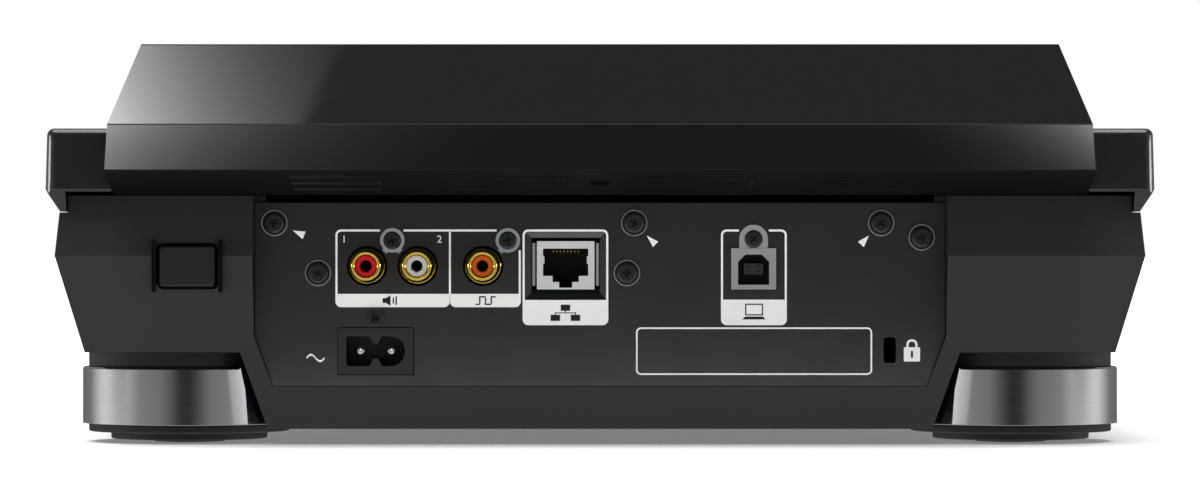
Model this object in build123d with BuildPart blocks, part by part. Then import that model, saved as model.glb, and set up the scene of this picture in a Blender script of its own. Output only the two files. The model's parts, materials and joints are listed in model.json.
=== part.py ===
from build123d import *
import os
from math import atan2, cos, degrees, hypot, radians, sin

# Allowances
overrun = 2.0
seam = 0.2
shake = 0.3
running_gap = 0.05

# Top cover
deck_half_width = 152.8
deck_front = 192.5
deck_rear = 170.0
deck_height = 87.7
deck_skin = 3.0
deck_corner = 3.0
deck_edge = 2.0
skirt_wall = 5.6
skirt_draft_angle = 1.6
skirt_turn_drop = 16.6
skirt_foot_drop = 22.9
skirt_turn = 3.9
ear_under_drop = 17.4
notch_wall = 3.0

# Display hood, its bezel and its screen
hood_side_margin = 18.5
hood_fold_inset = 0.8
hood_top_inset = 8.9
hood_front = 70.0
hood_rear = 192.5
hood_under_start = 164.0
hood_lip_drop = 12.2
hood_fold_rise = 0.6
hood_top_rise = 22.9
hood_top_setback = 13.9
hood_wall = 3.0
hood_edge = 0.7
bezel_rim = 1.5
bezel_thickness = 2.5
glass_side_margin = 50.3
glass_end_margin = 8.5
glass_thickness = 1.5
glass_border = 6.0
glass_middle_share = 0.5
lcd_thickness = 6.0
lcd_border = 3.0
hood_screw_radius = 3.0
vent_slot_width = 2.6
vent_row_shares = (0.24, 0.50, 0.75)
vent_span_shares = ((0.060, 0.318), (0.440, 0.636))

# Bottom case
case_wall = 2.5
case_rim_gap = 1.1
case_lap_gap = 0.3
belt_drop = 16.6
shoulder_height = 25.8
tub_height = 4.4
belt_inset = 2.3
rim_inset = 4.0
shoulder_inset = 9.9
tub_margin = 3.8
tub_lean = 7.3
rear_rim_setback = 6.2
rear_belt_setback = 4.5
rear_tub_setback = 17.4
front_rim_setback = 4.1
front_belt_setback = 2.4
front_tub_setback = 16.1
case_post_radius = 3.5
floor_slot_width = 3.0
floor_slot_length = 34.0
floor_slot_pitch = 8.0
floor_slot_count = 6

# Rear panel
panel_setback = 14.4
panel_side_margin = 56.8
panel_bottom = 16.3
panel_top_drop = 1.7
panel_slant_height = 14.1
panel_slant_inset = 5.0
panel_thickness = 1.2
panel_ledge = 3.0
panel_ledge_depth = 2.5

# Screws
screw_flange_radius = 3.7
screw_flange_height = 0.5
screw_head_radius = 2.9
screw_head_height = 1.7
screw_head_edge = 0.6
screw_shank_radius = 1.5
screw_length = 7.0
small_head_radius = 2.5
panel_screw_shares = (
    (-0.942, 0.887),
    (-0.816, 0.616),
    (0.099, 0.887),
    (0.078, 0.616),
    (0.8135, 0.887),
    (0.931, 0.809),
)
case_screw_shares = ((-0.72, -0.30), (0.72, -0.30), (-0.72, 0.36), (0.72, 0.36), (0.0, -0.82), (0.0, 0.70))
case_screw_head_sink = 3.0

# Rear sockets
jack_board_share = 0.5254
jack_hole_gap = 0.7
sleeve_radius = 4.15
sleeve_reach = 8.5
sleeve_bore_radius = 3.0
sleeve_flange_radius = 4.95
sleeve_flange_height = 1.2
insulator_bore_radius = 1.6
insulator_sink = 0.4
rca_shares = {"red": -0.674, "white": -0.5276, "orange": -0.3385}
rca_height = 6.6
rca_block_margin = 7.0
rca_block_depth = 12.0
tab_radius = 3.45
tab_thickness = 0.6
tab_leg = 1.6
tab_rise = 7.1
digital_tab_offset = 6.9
lan_share = -0.0995
lan_width = 16.1
lan_height = 13.5
lan_depth = 21.0
lan_sink = 1.0
lan_wall = 0.4
lan_window_width = 19.0
lan_window_height = 15.3
lan_bevel_width = 1.8
lan_mouth_top = 4.6
lan_mouth_half_widths = (6.25, 3.6, 1.75)
lan_mouth_heights = (7.5, 1.7, 1.6)
lan_pocket_depth = 13.0
usb_share = 0.4443
usb_width = 12.6
usb_height = 11.5
usb_depth = 16.0
usb_proud = 0.8
usb_wall = 0.4
usb_mouth_width = 8.55
usb_mouth_height = 8.3
usb_mouth_corner = 2.0
usb_mouth_drop = 0.2
usb_pocket_depth = 9.0
usb_tongue_width = 5.4
usb_tongue_height = 3.0
usb_tongue_setback = 1.2
usb_tab_radius = 4.05
usb_tab_rise = 2.56
inlet_share = -0.649
inlet_middle = 9.8
inlet_width = 20.85
inlet_height = 12.9
inlet_depth = 22.0
inlet_proud = 0.6
inlet_mouth_width = 16.35
inlet_mouth_height = 8.3
inlet_mouth_depth = 12.0
inlet_mouth_corner = 0.8
inlet_notch_width = 3.4
inlet_notch_tip = 1.4
inlet_notch_depth = 2.1
inlet_pin_pitch = 8.6
inlet_pin_radius = 1.25
inlet_pin_setback = 2.0
inlet_screw_rise = 2.75
lock_share = 0.8385
lock_middle = 10.1
lock_width = 3.4
lock_height = 7.2
lock_corner = 0.8

# Boards inside
board_thickness = 1.6
main_board_side_margin = 21.0
main_board_shift = 5.0
main_board_depth = 90.0
main_post_shares = ((-0.92, 0.06), (0.32, 0.06), (-0.92, 0.72), (0.32, 0.72))
power_board_half_width = 18.0
power_board_depth = 75.0
board_rear_gap = 4.0
board_post_margin = 4.5

# Feet
foot_side_inset = 36.3
foot_rear_setback = 46.0
foot_front_setback = 44.5
foot_pocket_gap = 2.0
collar_radius = 28.4
ring_radius = 30.1
ring_bore_radius = 20.0
ring_edge = 0.8
ring_bottom = 5.3
ring_top = 21.3
pad_radius = 28.4
pad_step_radius = 22.1
pad_foot_radius = 10.2
pad_step_height = 3.0
pad_foot_height = 0.9

# Power switch
power_side_inset = 38.9
power_drop = 19.45
power_width = 15.5
power_height = 11.1
power_corner = 1.1
power_gap = 0.9
power_rise = 0.6
power_travel = 3.0
power_housing = 3.5
power_housing_depth = 6.0
power_stem_length = 5.0
power_switch_depth = 12.0
guard_rib_width = 1.1
guard_rib_height = 14.4
guard_rib_rise = 1.6

# Push keys
key_rise = 1.8
key_edge = 0.5
key_travel = 1.2
key_corner = 1.0
flange_width = 1.0
flange_thickness = 1.2
key_stem_radius = 2.0
key_stem_length = 1.3
small_key_width = 12.0
small_key_length = 8.0
pad_key_width = 17.0
pad_key_length = 11.0
round_key_radius = 16.0
tact_size = 6.0
tact_height = 3.5
left_key_shares = {
    "play_button": (0.494, -0.830),
    "cue_button": (0.494, -0.625),
    "search_back_button": (0.647, -0.475),
    "search_forward_button": (0.341, -0.475),
    "track_back_button": (0.647, -0.400),
    "track_forward_button": (0.341, -0.400),
    "hot_cue_a_button": (0.566, -0.150),
    "hot_cue_b_button": (0.566, -0.060),
    "hot_cue_c_button": (0.566, 0.030),
    "loop_in_button": (0.566, 0.240),
    "loop_out_button": (0.161, 0.240),
    "reloop_button": (-0.244, 0.240),
}
right_key_shares = {"sync_button": (0.566, -0.150), "master_tempo_button": (0.566, -0.050)}
hood_key_shares = {"back_button": (0.226, 0.84), "menu_button": (0.546, 0.84)}

# Key boards under the deck and under the bezel
key_board_margin = 1.0
key_board_front_share = -0.955
key_board_rear_share = 0.325
key_board_wing_share = 0.17
left_wing_share = -0.475
right_wing_share = -0.157
right_board_front_share = -0.21
key_board_post_radius = 2.2
left_post_shares = ((0.812, -0.935), (0.812, -0.545), (0.812, 0.30), (-0.042, 0.30))
right_post_shares = ((0.812, -0.10), (0.812, 0.30), (0.812, 0.07))
hood_board_half_width = 16.0
hood_board_half_height = 11.0
hood_board_post_inset = 2.6

# Jog wheel
jog_side_margin = 52.8
jog_front_margin = 16.5
jog_gap = 1.2
jog_rise = 8.0
jog_sink = 7.0
jog_rim_width = 11.0
jog_bevel = 5.0
jog_bevel_drop = 3.0
jog_web = 3.0
jog_plate_thickness = 2.0
jog_hub_wall = 4.0
jog_hub_drop = 8.0
dimple_count = 36
dimple_radius = 6.0
dimple_depth = 1.1
jog_display_radius = 32.0
jog_display_thickness = 4.0
jog_display_sink = 0.8
jog_post_radius = 12.0
jog_bearing_width = 4.0
jog_bearing_height = 6.0
jog_collar = 1.5
jog_base_thickness = 2.5
jog_base_drop = 16.2
jog_base_margin = 7.0
jog_pillar_radius = 2.5
jog_pillar_inset = 0.6
jog_pillar_count = 6

# Tempo fader
fader_side_share = 0.494
fader_middle_share = -0.60
fader_travel = 45.0
fader_slot_width = 3.6
fader_body_width = 18.0
fader_body_height = 12.0
fader_body_margin = 6.0
fader_channel_depth = 8.0
fader_stem_length = 6.0
fader_cap_width = 13.0
fader_cap_length = 22.0
fader_cap_height = 8.0
fader_cap_gap = 0.4
fader_cap_waist = 2.0

# Direction lever
lever_side_share = 0.494
lever_middle_share = -0.275
lever_travel = 4.0
lever_width = 8.0
lever_length = 7.0
lever_rise = 5.0
lever_stem_width = 3.0
lever_plate_margin = 4.0

# Turning knobs
knob_radius = 7.5
knob_height = 10.0
knob_edge = 0.8
knob_gap = 0.5
knob_shaft_radius = 3.0
pot_size = 12.0
pot_height = 7.0
pot_bore_depth = 5.0
deck_knob_shares = {"jog_adjust_knob": (0.711, 0.215), "brake_knob": (0.190, 0.250)}
browse_share = 0.253
browse_height_share = 0.40
browse_radius = 10.5
browse_height = 11.0
browse_push = 0.8
browse_socket_depth = 8.0

# Memory stick port in the bezel
port_side_share = 0.253
port_height_share = 0.72
port_width = 13.2
port_height = 5.8
port_wall = 0.35
port_depth = 13.0
port_floor = 2.0
port_tongue_thickness = 1.8
port_tongue_inset = 0.5


def save(piece, name):
    """Label a finished piece and write it to its own file."""
    piece.part.label = name
    export_step(piece.part, f"parts/{name}.step")


def section_form(across, along, inset=0):
    """The solid shared by a section across the width and one along the depth, both drawn in by inset."""
    with BuildPart() as form:
        with BuildSketch(Plane.XZ):
            with BuildLine():
                Polyline(*across, *[(-x, z) for x, z in reversed(across)], close=True)
            make_face()
            if inset:
                offset(amount=-inset, kind=Kind.INTERSECTION)
        extrude(amount=deck_front + hood_rear, both=True)
        with BuildSketch(Plane.YZ):
            with BuildLine():
                Polyline(*along, close=True)
            make_face()
            if inset:
                offset(amount=-inset, kind=Kind.INTERSECTION)
        extrude(amount=2 * deck_half_width, both=True, mode=Mode.INTERSECT)
    return form.part


os.makedirs("parts", exist_ok=True)

# Places worked out from the sizes above
deck = Plane.XY.offset(deck_height)
deck_under = deck_height - deck_skin
skirt_turn_height = deck_height - skirt_turn_drop
skirt_foot_height = deck_height - skirt_foot_drop
ear_under_height = deck_height - ear_under_drop
rim_height = ear_under_height - case_rim_gap
belt_height = rim_height - belt_drop
hood_half_width = deck_half_width - hood_side_margin
hood_lip_height = deck_height - hood_lip_drop
hood_fold_height = deck_height + hood_fold_rise
hood_top_height = deck_height + hood_top_rise
jog_radius = deck_half_width - jog_side_margin
jog_middle = jog_front_margin + jog_radius - deck_front
panel_half_width = deck_half_width - panel_side_margin
panel_top = rim_height - panel_top_drop
panel_face = deck_rear - panel_setback
panel_height = panel_top - panel_bottom
jack_board_height = panel_bottom + jack_board_share * panel_height
main_board_half_width = panel_half_width - main_board_side_margin
panel_back = panel_face - panel_thickness
rear_view = Plane(origin=(0, panel_face, panel_bottom), x_dir=(-1, 0, 0), z_dir=(0, 1, 0))
hood_seat = rim_height + seam
hood_tilt = degrees(atan2(hood_top_height - deck_height, hood_rear - hood_top_setback - hood_front))
hood_slope = hypot(hood_top_height - deck_height, hood_rear - hood_top_setback - hood_front)
display = Plane(
    origin=(0, hood_front, deck_height),
    x_dir=(1, 0, 0),
    z_dir=(0, -sin(radians(hood_tilt)), cos(radians(hood_tilt))),
)
glass_half_width = hood_half_width - glass_side_margin
glass_width = 2 * glass_half_width
glass_height = hood_slope - 2 * glass_end_margin
foot_side = deck_half_width - foot_side_inset
foot_places = [
    (side * foot_side, y)
    for side in (-1, 1)
    for y in (deck_rear - foot_rear_setback, foot_front_setback - deck_front)
]
power_side = deck_half_width - power_side_inset
power_middle = rim_height - power_drop
key_board_top = deck_under - seam - flange_thickness - key_stem_length - key_travel - shake - tact_height


def on_deck(side, shares):
    """A place beside the jog wheel, left (-1) or right (1), from shares of the margin and the front depth."""
    return (side * (jog_radius + shares[0] * jog_side_margin), shares[1] * deck_front)


def on_hood(side, shares):
    """A place beside the screen, left (-1) or right (1), from shares of the margin and the hood's slope."""
    return (side * (glass_half_width + shares[0] * glass_side_margin), shares[1] * hood_slope)


def on_panel(shares):
    """A place on the rear panel, seen from behind, from its shares of the half width and height."""
    return (shares[0] * panel_half_width, shares[1] * panel_height)


# Rear panel outline: straight sides, then a slant in to the foot of the panel
def panel_outline(grow, top):
    """The panel's outline, grown by a margin all round, up to a given height over its foot."""
    with BuildSketch() as outline:
        with BuildLine():
            half = panel_half_width
            right = [(half - panel_slant_inset, 0), (half, panel_slant_height), (half, top)]
            Polyline(*right, *[(-x, z) for x, z in reversed(right)], close=True)
        make_face()
        if grow:
            offset(amount=grow, kind=Kind.INTERSECTION)
    return outline.sketch


# Bottom case: sloping shoulders over a narrower tub, round pockets for the feet, a recess for the panel
def case_sections(top):
    """The case's sections across and along, with its walls carried up to a given height."""
    tub_half = panel_half_width + tub_margin
    across = [
        (tub_half - tub_lean, tub_height),
        (tub_half, shoulder_height),
        (deck_half_width - shoulder_inset, shoulder_height),
        (deck_half_width - belt_inset, belt_height),
        (deck_half_width - rim_inset, rim_height),
        (deck_half_width - rim_inset, top),
    ]
    along = [
        (front_tub_setback - deck_front, tub_height),
        (deck_rear - rear_tub_setback, tub_height),
        (deck_rear - rear_belt_setback, belt_height),
        (deck_rear - rear_rim_setback, rim_height),
        (deck_rear - rear_rim_setback, top),
        (front_rim_setback - deck_front, top),
        (front_rim_setback - deck_front, rim_height),
        (front_belt_setback - deck_front, belt_height),
    ]
    if top == rim_height:
        across = across[:-1]
        along = along[:4] + along[6:]
    return across, along


case_outside = section_form(*case_sections(rim_height))
case_inside = section_form(*case_sections(rim_height + 2 * case_wall), case_wall)
inlet_height_over_floor = panel_bottom + inlet_middle
power_board_top = inlet_height_over_floor - inlet_height / 2
power_board_middle = -inlet_share * panel_half_width
board_rear = panel_back - board_rear_gap
main_posts = [
    (main_board_shift + share_x * main_board_half_width, board_rear - (1 - share_y) * main_board_depth)
    for share_x, share_y in main_post_shares
]
power_posts = [
    (power_board_middle + side * (power_board_half_width - board_post_margin), y)
    for side in (-1, 1)
    for y in (board_rear - board_post_margin, board_rear - power_board_depth + board_post_margin)
]
case_screw_places = [
    (share_x * panel_half_width, share_y * (deck_front - front_tub_setback))
    for share_x, share_y in case_screw_shares
]
power_inner_face = deck_rear - rear_belt_setback - power_housing_depth
power_switch_front = power_inner_face - flange_thickness - seam - power_stem_length - power_travel - shake
power_switch_bottom = power_middle - power_height / 2
power_hole_width = power_width + 2 * power_gap
power_hole_height = power_height + 2 * power_gap

with BuildPart() as case_cavity:
    add(case_inside)
    with BuildSketch(Plane.XY.offset(tub_height)):
        with Locations(*foot_places):
            Circle(ring_radius + foot_pocket_gap + case_wall)
    extrude(amount=shoulder_height - tub_height + case_wall, mode=Mode.SUBTRACT)
    with BuildSketch(rear_view.offset(-panel_thickness - panel_ledge_depth)):
        add(panel_outline(case_wall, panel_height + 2 * case_wall))
    extrude(amount=deck_rear - panel_back + panel_ledge_depth, mode=Mode.SUBTRACT)
    with BuildSketch(Plane.XY.offset(tub_height)):
        with Locations(*main_posts):
            Circle(case_post_radius)
    extrude(amount=jack_board_height - board_thickness - tub_height, mode=Mode.SUBTRACT)
    with BuildSketch(Plane.XY.offset(tub_height)):
        with Locations(*power_posts):
            Circle(case_post_radius)
    extrude(amount=power_board_top - board_thickness - tub_height, mode=Mode.SUBTRACT)
    with BuildSketch(Plane.XY.offset(tub_height)):
        with Locations(*case_screw_places):
            Circle(case_post_radius)
    extrude(amount=screw_length + case_screw_head_sink + case_wall, mode=Mode.SUBTRACT)
    with BuildSketch(Plane.XZ.offset(-power_inner_face)):
        with Locations((power_side, power_middle)):
            Rectangle(power_hole_width + 2 * power_housing, power_hole_height + 2 * power_housing)
    extrude(amount=-deck_rear, mode=Mode.SUBTRACT)
    with BuildSketch(Plane.XZ.offset(-power_switch_front)):
        with Locations((power_side, (shoulder_height + power_switch_bottom) / 2)):
            Rectangle(power_width, power_switch_bottom - shoulder_height)
    extrude(amount=power_switch_depth, mode=Mode.SUBTRACT)

with BuildPart() as bottom_case:
    add(case_outside)
    with BuildSketch(Plane.XY.offset(tub_height - overrun)):
        with Locations(*foot_places):
            Circle(ring_radius + foot_pocket_gap)
    extrude(amount=shoulder_height - tub_height + overrun, mode=Mode.SUBTRACT)
    add(case_cavity.part, mode=Mode.SUBTRACT)
    with BuildSketch(rear_view.offset(-panel_thickness)):
        add(panel_outline(0, panel_height + 2 * case_wall))
    extrude(amount=deck_rear, mode=Mode.SUBTRACT)
    with BuildSketch(rear_view.offset(-panel_thickness - panel_ledge_depth - overrun)):
        add(panel_outline(-panel_ledge, panel_height + 2 * case_wall + panel_ledge))
    extrude(amount=panel_ledge_depth + 2 * overrun, mode=Mode.SUBTRACT)
    # The rim steps in at the sides and the front, where the cover's skirt laps over it
    with BuildSketch(Plane.XY.offset(skirt_foot_height - seam)):
        lap_half = deck_half_width - skirt_wall - case_lap_gap
        lap_front = deck_front - skirt_wall - case_lap_gap
        Rectangle(4 * deck_half_width, 4 * deck_front)
        with Locations((0, deck_front)):
            Rectangle(2 * lap_half, 2 * (deck_front + lap_front), mode=Mode.SUBTRACT)
    extrude(amount=rim_height, mode=Mode.SUBTRACT)
    # The power button's opening and the two ribs that guard it
    with BuildSketch(Plane.XZ.offset(-power_inner_face + overrun)):
        with Locations((power_side, power_middle)):
            RectangleRounded(power_hole_width, power_hole_height, power_corner + power_gap)
    extrude(amount=-deck_rear, mode=Mode.SUBTRACT)
    with BuildSketch(Plane.XZ.offset(-power_inner_face - case_wall)):
        with Locations((power_side, power_middle)):
            with GridLocations(power_hole_width + guard_rib_width, 0, 2, 1):
                SlotOverall(guard_rib_height, guard_rib_width, rotation=90)
    extrude(amount=-(power_housing_depth - case_wall + guard_rib_rise))
    # Screw holes and vents in the floor of the tub
    with BuildSketch(Plane.XY.offset(tub_height)):
        with Locations(*case_screw_places):
            Circle(small_head_radius + seam)
    extrude(amount=case_screw_head_sink, mode=Mode.SUBTRACT)
    with BuildSketch(Plane.XY.offset(tub_height + case_screw_head_sink)):
        with Locations(*case_screw_places):
            Circle(screw_shank_radius + running_gap)
    extrude(amount=screw_length, mode=Mode.SUBTRACT)
    with BuildSketch(Plane.XY.offset(tub_height - overrun)):
        with GridLocations(panel_half_width, floor_slot_pitch, 2, floor_slot_count):
            SlotOverall(floor_slot_length, floor_slot_width)
    extrude(amount=case_wall + 2 * overrun, mode=Mode.SUBTRACT)
save(bottom_case, "bottom_case")

# Top cover: a skin with a turned-under skirt, notched at the rear for the display hood
deck_keys = {name: on_deck(-1, shares) for name, shares in left_key_shares.items()}
deck_keys.update({name: on_deck(1, shares) for name, shares in right_key_shares.items()})
deck_knobs = {name: on_deck(1, shares) for name, shares in deck_knob_shares.items()}
fader_place = on_deck(1, (fader_side_share, fader_middle_share))
lever_place = on_deck(-1, (lever_side_share, lever_middle_share))
jog_well_radius = jog_radius + jog_gap
lever_slot_width = lever_stem_width + 2 * shake
fader_slot_length = 2 * fader_travel + fader_stem_length + fader_slot_width + 2 * shake
lever_slot_length = 2 * lever_travel + lever_stem_width + lever_slot_width + 2 * shake
board_posts = [on_deck(-1, shares) for shares in left_post_shares]
board_posts += [on_deck(1, shares) for shares in right_post_shares]


def key_sizes(name):
    """A key's width and length, or one diameter twice for a round key."""
    if name in ("play_button", "cue_button"):
        return (2 * round_key_radius, 2 * round_key_radius)
    if name.startswith(("search", "track", "back", "menu")):
        return (small_key_width, small_key_length)
    return (pad_key_width, pad_key_length)


def key_outline(name, grow):
    """A key's outline grown by a margin: a disc for the two large keys, a rounded rectangle for the rest."""
    width, length = key_sizes(name)
    with BuildSketch() as outline:
        if width == length:
            Circle(width / 2 + grow)
        else:
            RectangleRounded(width + 2 * grow, length + 2 * grow, key_corner + grow)
    return outline.sketch


skirt_under = section_form(
    [(deck_half_width - skirt_turn, skirt_foot_height), (deck_half_width, skirt_turn_height)],
    [
        (skirt_turn - deck_front, skirt_foot_height),
        (deck_rear - skirt_turn, skirt_foot_height),
        (deck_rear, skirt_turn_height),
        (-deck_front, skirt_turn_height),
    ],
)
cover_depth = deck_rear + deck_front
cover_plan = Plane((0, (deck_rear - deck_front) / 2, skirt_foot_height))
notch_half_width = hood_half_width + seam
notch_length = deck_rear - hood_front + seam
notch_outer_half = notch_half_width + notch_wall
notch_outer_length = notch_length + notch_wall

with BuildPart() as top_cover:
    with BuildSketch(cover_plan):
        RectangleRounded(2 * deck_half_width, cover_depth, deck_corner)
    extrude(amount=deck_height)
    add(skirt_under, mode=Mode.INTERSECT)
    with BuildSketch(cover_plan.offset(skirt_turn_height - skirt_foot_height)):
        RectangleRounded(2 * deck_half_width, cover_depth, deck_corner)
    extrude(amount=deck_height - skirt_turn_height, taper=skirt_draft_angle)
    fillet(top_cover.faces().sort_by(Axis.Z)[-1].edges(), deck_edge)
    with BuildSketch(cover_plan):
        Rectangle(2 * (deck_half_width - skirt_wall), cover_depth - 2 * skirt_wall)
        with Locations((0, cover_depth / 2)):
            Rectangle(2 * notch_outer_half, 2 * notch_outer_length, mode=Mode.SUBTRACT)
    extrude(amount=deck_under - skirt_foot_height, mode=Mode.SUBTRACT)
    with BuildSketch(cover_plan):
        with Locations((0, cover_depth / 2)):
            Rectangle(2 * notch_half_width, 2 * notch_length)
    extrude(amount=deck_height, mode=Mode.SUBTRACT)
    # Behind the notch's front wall the two ears stop higher than the skirt beside them
    with BuildSketch(cover_plan):
        with Locations((0, cover_depth / 2)):
            Rectangle(2 * (deck_half_width - skirt_wall), 2 * notch_outer_length)
    extrude(amount=ear_under_height - skirt_foot_height, mode=Mode.SUBTRACT)
    with BuildSketch(deck):
        with Locations((0, jog_middle)):
            Circle(jog_well_radius)
        for name, place in deck_keys.items():
            with Locations(place):
                add(key_outline(name, shake))
        with Locations(*deck_knobs.values()):
            Circle(knob_shaft_radius + shake)
        with Locations(fader_place):
            SlotOverall(fader_slot_length, fader_slot_width, rotation=90)
        with Locations(lever_place):
            SlotOverall(lever_slot_length, lever_slot_width, rotation=90)
    extrude(amount=-deck_skin - overrun, mode=Mode.SUBTRACT)
    with BuildSketch(Plane.XY.offset(deck_under)):
        with Locations(*board_posts):
            Circle(key_board_post_radius)
    extrude(amount=key_board_top - deck_under)
save(top_cover, "top_cover")

# Display hood: a folded shell behind the display, with vents in its sloping underside
hood_across = [
    (hood_half_width, hood_seat),
    (hood_half_width, hood_lip_height),
    (hood_half_width - hood_fold_inset, hood_fold_height),
    (hood_half_width - hood_top_inset, hood_top_height),
]
hood_across_raised = hood_across[:-1] + [
    (hood_half_width - 2 * hood_top_inset + hood_fold_inset, 2 * hood_top_height - hood_fold_height)
]
hood_back = [(hood_under_start, hood_seat), (hood_rear, hood_lip_height), (hood_rear, hood_fold_height)]
hood_along = [
    (hood_front, hood_seat),
    *hood_back,
    (hood_rear - hood_top_setback, hood_top_height),
    (hood_front, deck_height),
]
hood_along_raised = [
    (hood_front, hood_seat),
    *hood_back,
    (hood_rear - 2 * hood_top_setback, 2 * hood_top_height - hood_fold_height),
    (hood_front, 2 * hood_top_height - hood_fold_height),
]
hood_outside = section_form(hood_across, hood_along)
hood_mouth = section_form(hood_across_raised, hood_along_raised, bezel_rim)
hood_inside = section_form(hood_across_raised, hood_along_raised, hood_wall)
bezel_form = section_form(hood_across_raised, hood_along_raised, bezel_rim + seam)
hood_keys = {name: on_hood(1, shares) for name, shares in hood_key_shares.items()}
browse_place = on_hood(1, (browse_share, browse_height_share))
port_place = on_hood(-1, (port_side_share, port_height_share))
glass_place = (0, glass_middle_share * hood_slope)
hood_board_x = sum(place[0] for place in hood_keys.values()) / len(hood_keys)
hood_board_y = sum(place[1] for place in hood_keys.values()) / len(hood_keys)

with BuildPart() as bezel_pocket:
    add(hood_mouth)
    with BuildSketch(display.offset(-bezel_thickness)):
        Rectangle(4 * deck_half_width, 4 * hood_slope)
    extrude(amount=2 * hood_slope, mode=Mode.INTERSECT)

with BuildPart() as display_hood:
    add(hood_outside)
    rear_edges = display_hood.edges().filter_by_position(Axis.Y, hood_under_start + overrun, hood_rear)
    fillet(rear_edges.filter_by(Axis.X), hood_edge)
    add(bezel_pocket.part, mode=Mode.SUBTRACT)
    add(hood_inside, mode=Mode.SUBTRACT)
    with BuildSketch(Plane.XY.offset(hood_seat - overrun)):
        with Locations((0, (hood_front + hood_under_start) / 2)):
            Rectangle(2 * (hood_half_width - hood_wall), hood_under_start - hood_front - 2 * hood_wall)
    extrude(amount=hood_wall + 2 * overrun, mode=Mode.SUBTRACT)
    under_depth = hood_rear - hood_under_start
    with BuildSketch(Plane.XY.offset(hood_seat - overrun)):
        for row in vent_row_shares:
            row_y = hood_rear - row * under_depth
            for start, end in vent_span_shares:
                middle = (start + end) / 2 * hood_half_width
                with Locations((middle, row_y), (-middle, row_y)):
                    SlotOverall((end - start) * hood_half_width, vent_slot_width)
        with Locations((0, hood_rear - under_depth / 2)):
            Circle(hood_screw_radius)
    extrude(amount=hood_lip_height - hood_seat + overrun, mode=Mode.SUBTRACT)
save(display_hood, "display_hood")

with BuildPart() as display_bezel:
    add(bezel_form)
    with BuildSketch(display.offset(-bezel_thickness)):
        Rectangle(4 * deck_half_width, 4 * hood_slope)
    extrude(amount=bezel_thickness, mode=Mode.INTERSECT)
    with BuildSketch(display):
        with Locations(glass_place):
            Rectangle(glass_width + 2 * seam, glass_height + 2 * seam)
    extrude(amount=-glass_thickness, mode=Mode.SUBTRACT)
    with BuildSketch(display):
        with Locations(glass_place):
            Rectangle(glass_width - 2 * glass_border, glass_height - 2 * glass_border)
        for name, place in hood_keys.items():
            with Locations(place):
                add(key_outline(name, shake))
        with Locations(browse_place):
            Circle(knob_shaft_radius + shake)
        with Locations(port_place):
            Rectangle(port_width + 2 * seam, port_height + 2 * seam)
    extrude(amount=-bezel_thickness - overrun, mode=Mode.SUBTRACT)
    with BuildSketch(display.offset(-bezel_thickness)):
        post_y = hood_board_y - hood_board_half_height + hood_board_post_inset
        with Locations((hood_board_x, post_y)):
            with GridLocations(2 * (hood_board_half_width - hood_board_post_inset), 0, 2, 1):
                Circle(key_board_post_radius)
    extrude(amount=key_board_top - deck_under)
save(display_bezel, "display_bezel")

with BuildPart() as screen_glass:
    with BuildSketch(display):
        with Locations(glass_place):
            Rectangle(glass_width, glass_height)
    extrude(amount=-glass_thickness)
save(screen_glass, "screen_glass")

with BuildPart() as lcd_panel:
    with BuildSketch(display.offset(-bezel_thickness)):
        with Locations(glass_place):
            Rectangle(glass_width - 2 * lcd_border, glass_height - 2 * lcd_border)
    extrude(amount=-lcd_thickness)
save(lcd_panel, "lcd_panel")

# Memory stick port: a folded steel tube round a tongue, dropped into the bezel from above
with BuildPart() as usb_port:
    with BuildSketch(display):
        with Locations(port_place):
            Rectangle(port_width, port_height)
    extrude(amount=-port_depth)
    with BuildSketch(display):
        with Locations(port_place):
            Rectangle(port_width - 2 * port_wall, port_height - 2 * port_wall)
    extrude(amount=port_floor - port_depth, mode=Mode.SUBTRACT)
    with BuildSketch(display.offset(-port_depth)):
        with Locations(port_place):
            Rectangle(port_width - 2 * port_wall - 2 * port_tongue_inset, port_tongue_thickness)
    extrude(amount=port_depth - port_floor)
save(usb_port, "usb_port")

# Rear panel: a painted steel sheet with a hole for each socket
rca_places = {
    name: (share * panel_half_width, jack_board_height + rca_height - panel_bottom)
    for name, share in rca_shares.items()
}
lan_place = (lan_share * panel_half_width, jack_board_height + lan_height / 2 - panel_bottom)
usb_place = (usb_share * panel_half_width, jack_board_height + usb_height / 2 - panel_bottom)
inlet_place = (inlet_share * panel_half_width, inlet_middle)
lock_place = (lock_share * panel_half_width, lock_middle)
audio_middle = (rca_places["red"][0] + rca_places["white"][0]) / 2
tab_places = [
    (audio_middle, rca_places["white"][1] + tab_rise),
    (rca_places["orange"][0] + digital_tab_offset, rca_places["orange"][1] + tab_rise),
]
usb_screw_place = (usb_place[0], usb_place[1] + usb_height / 2 + usb_tab_rise)
inlet_screw_place = (inlet_place[0], inlet_place[1] + inlet_height / 2 + inlet_screw_rise)
panel_screw_places = [on_panel(shares) for shares in panel_screw_shares]
screw_holes = panel_screw_places + tab_places + [inlet_screw_place, usb_screw_place]

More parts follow.
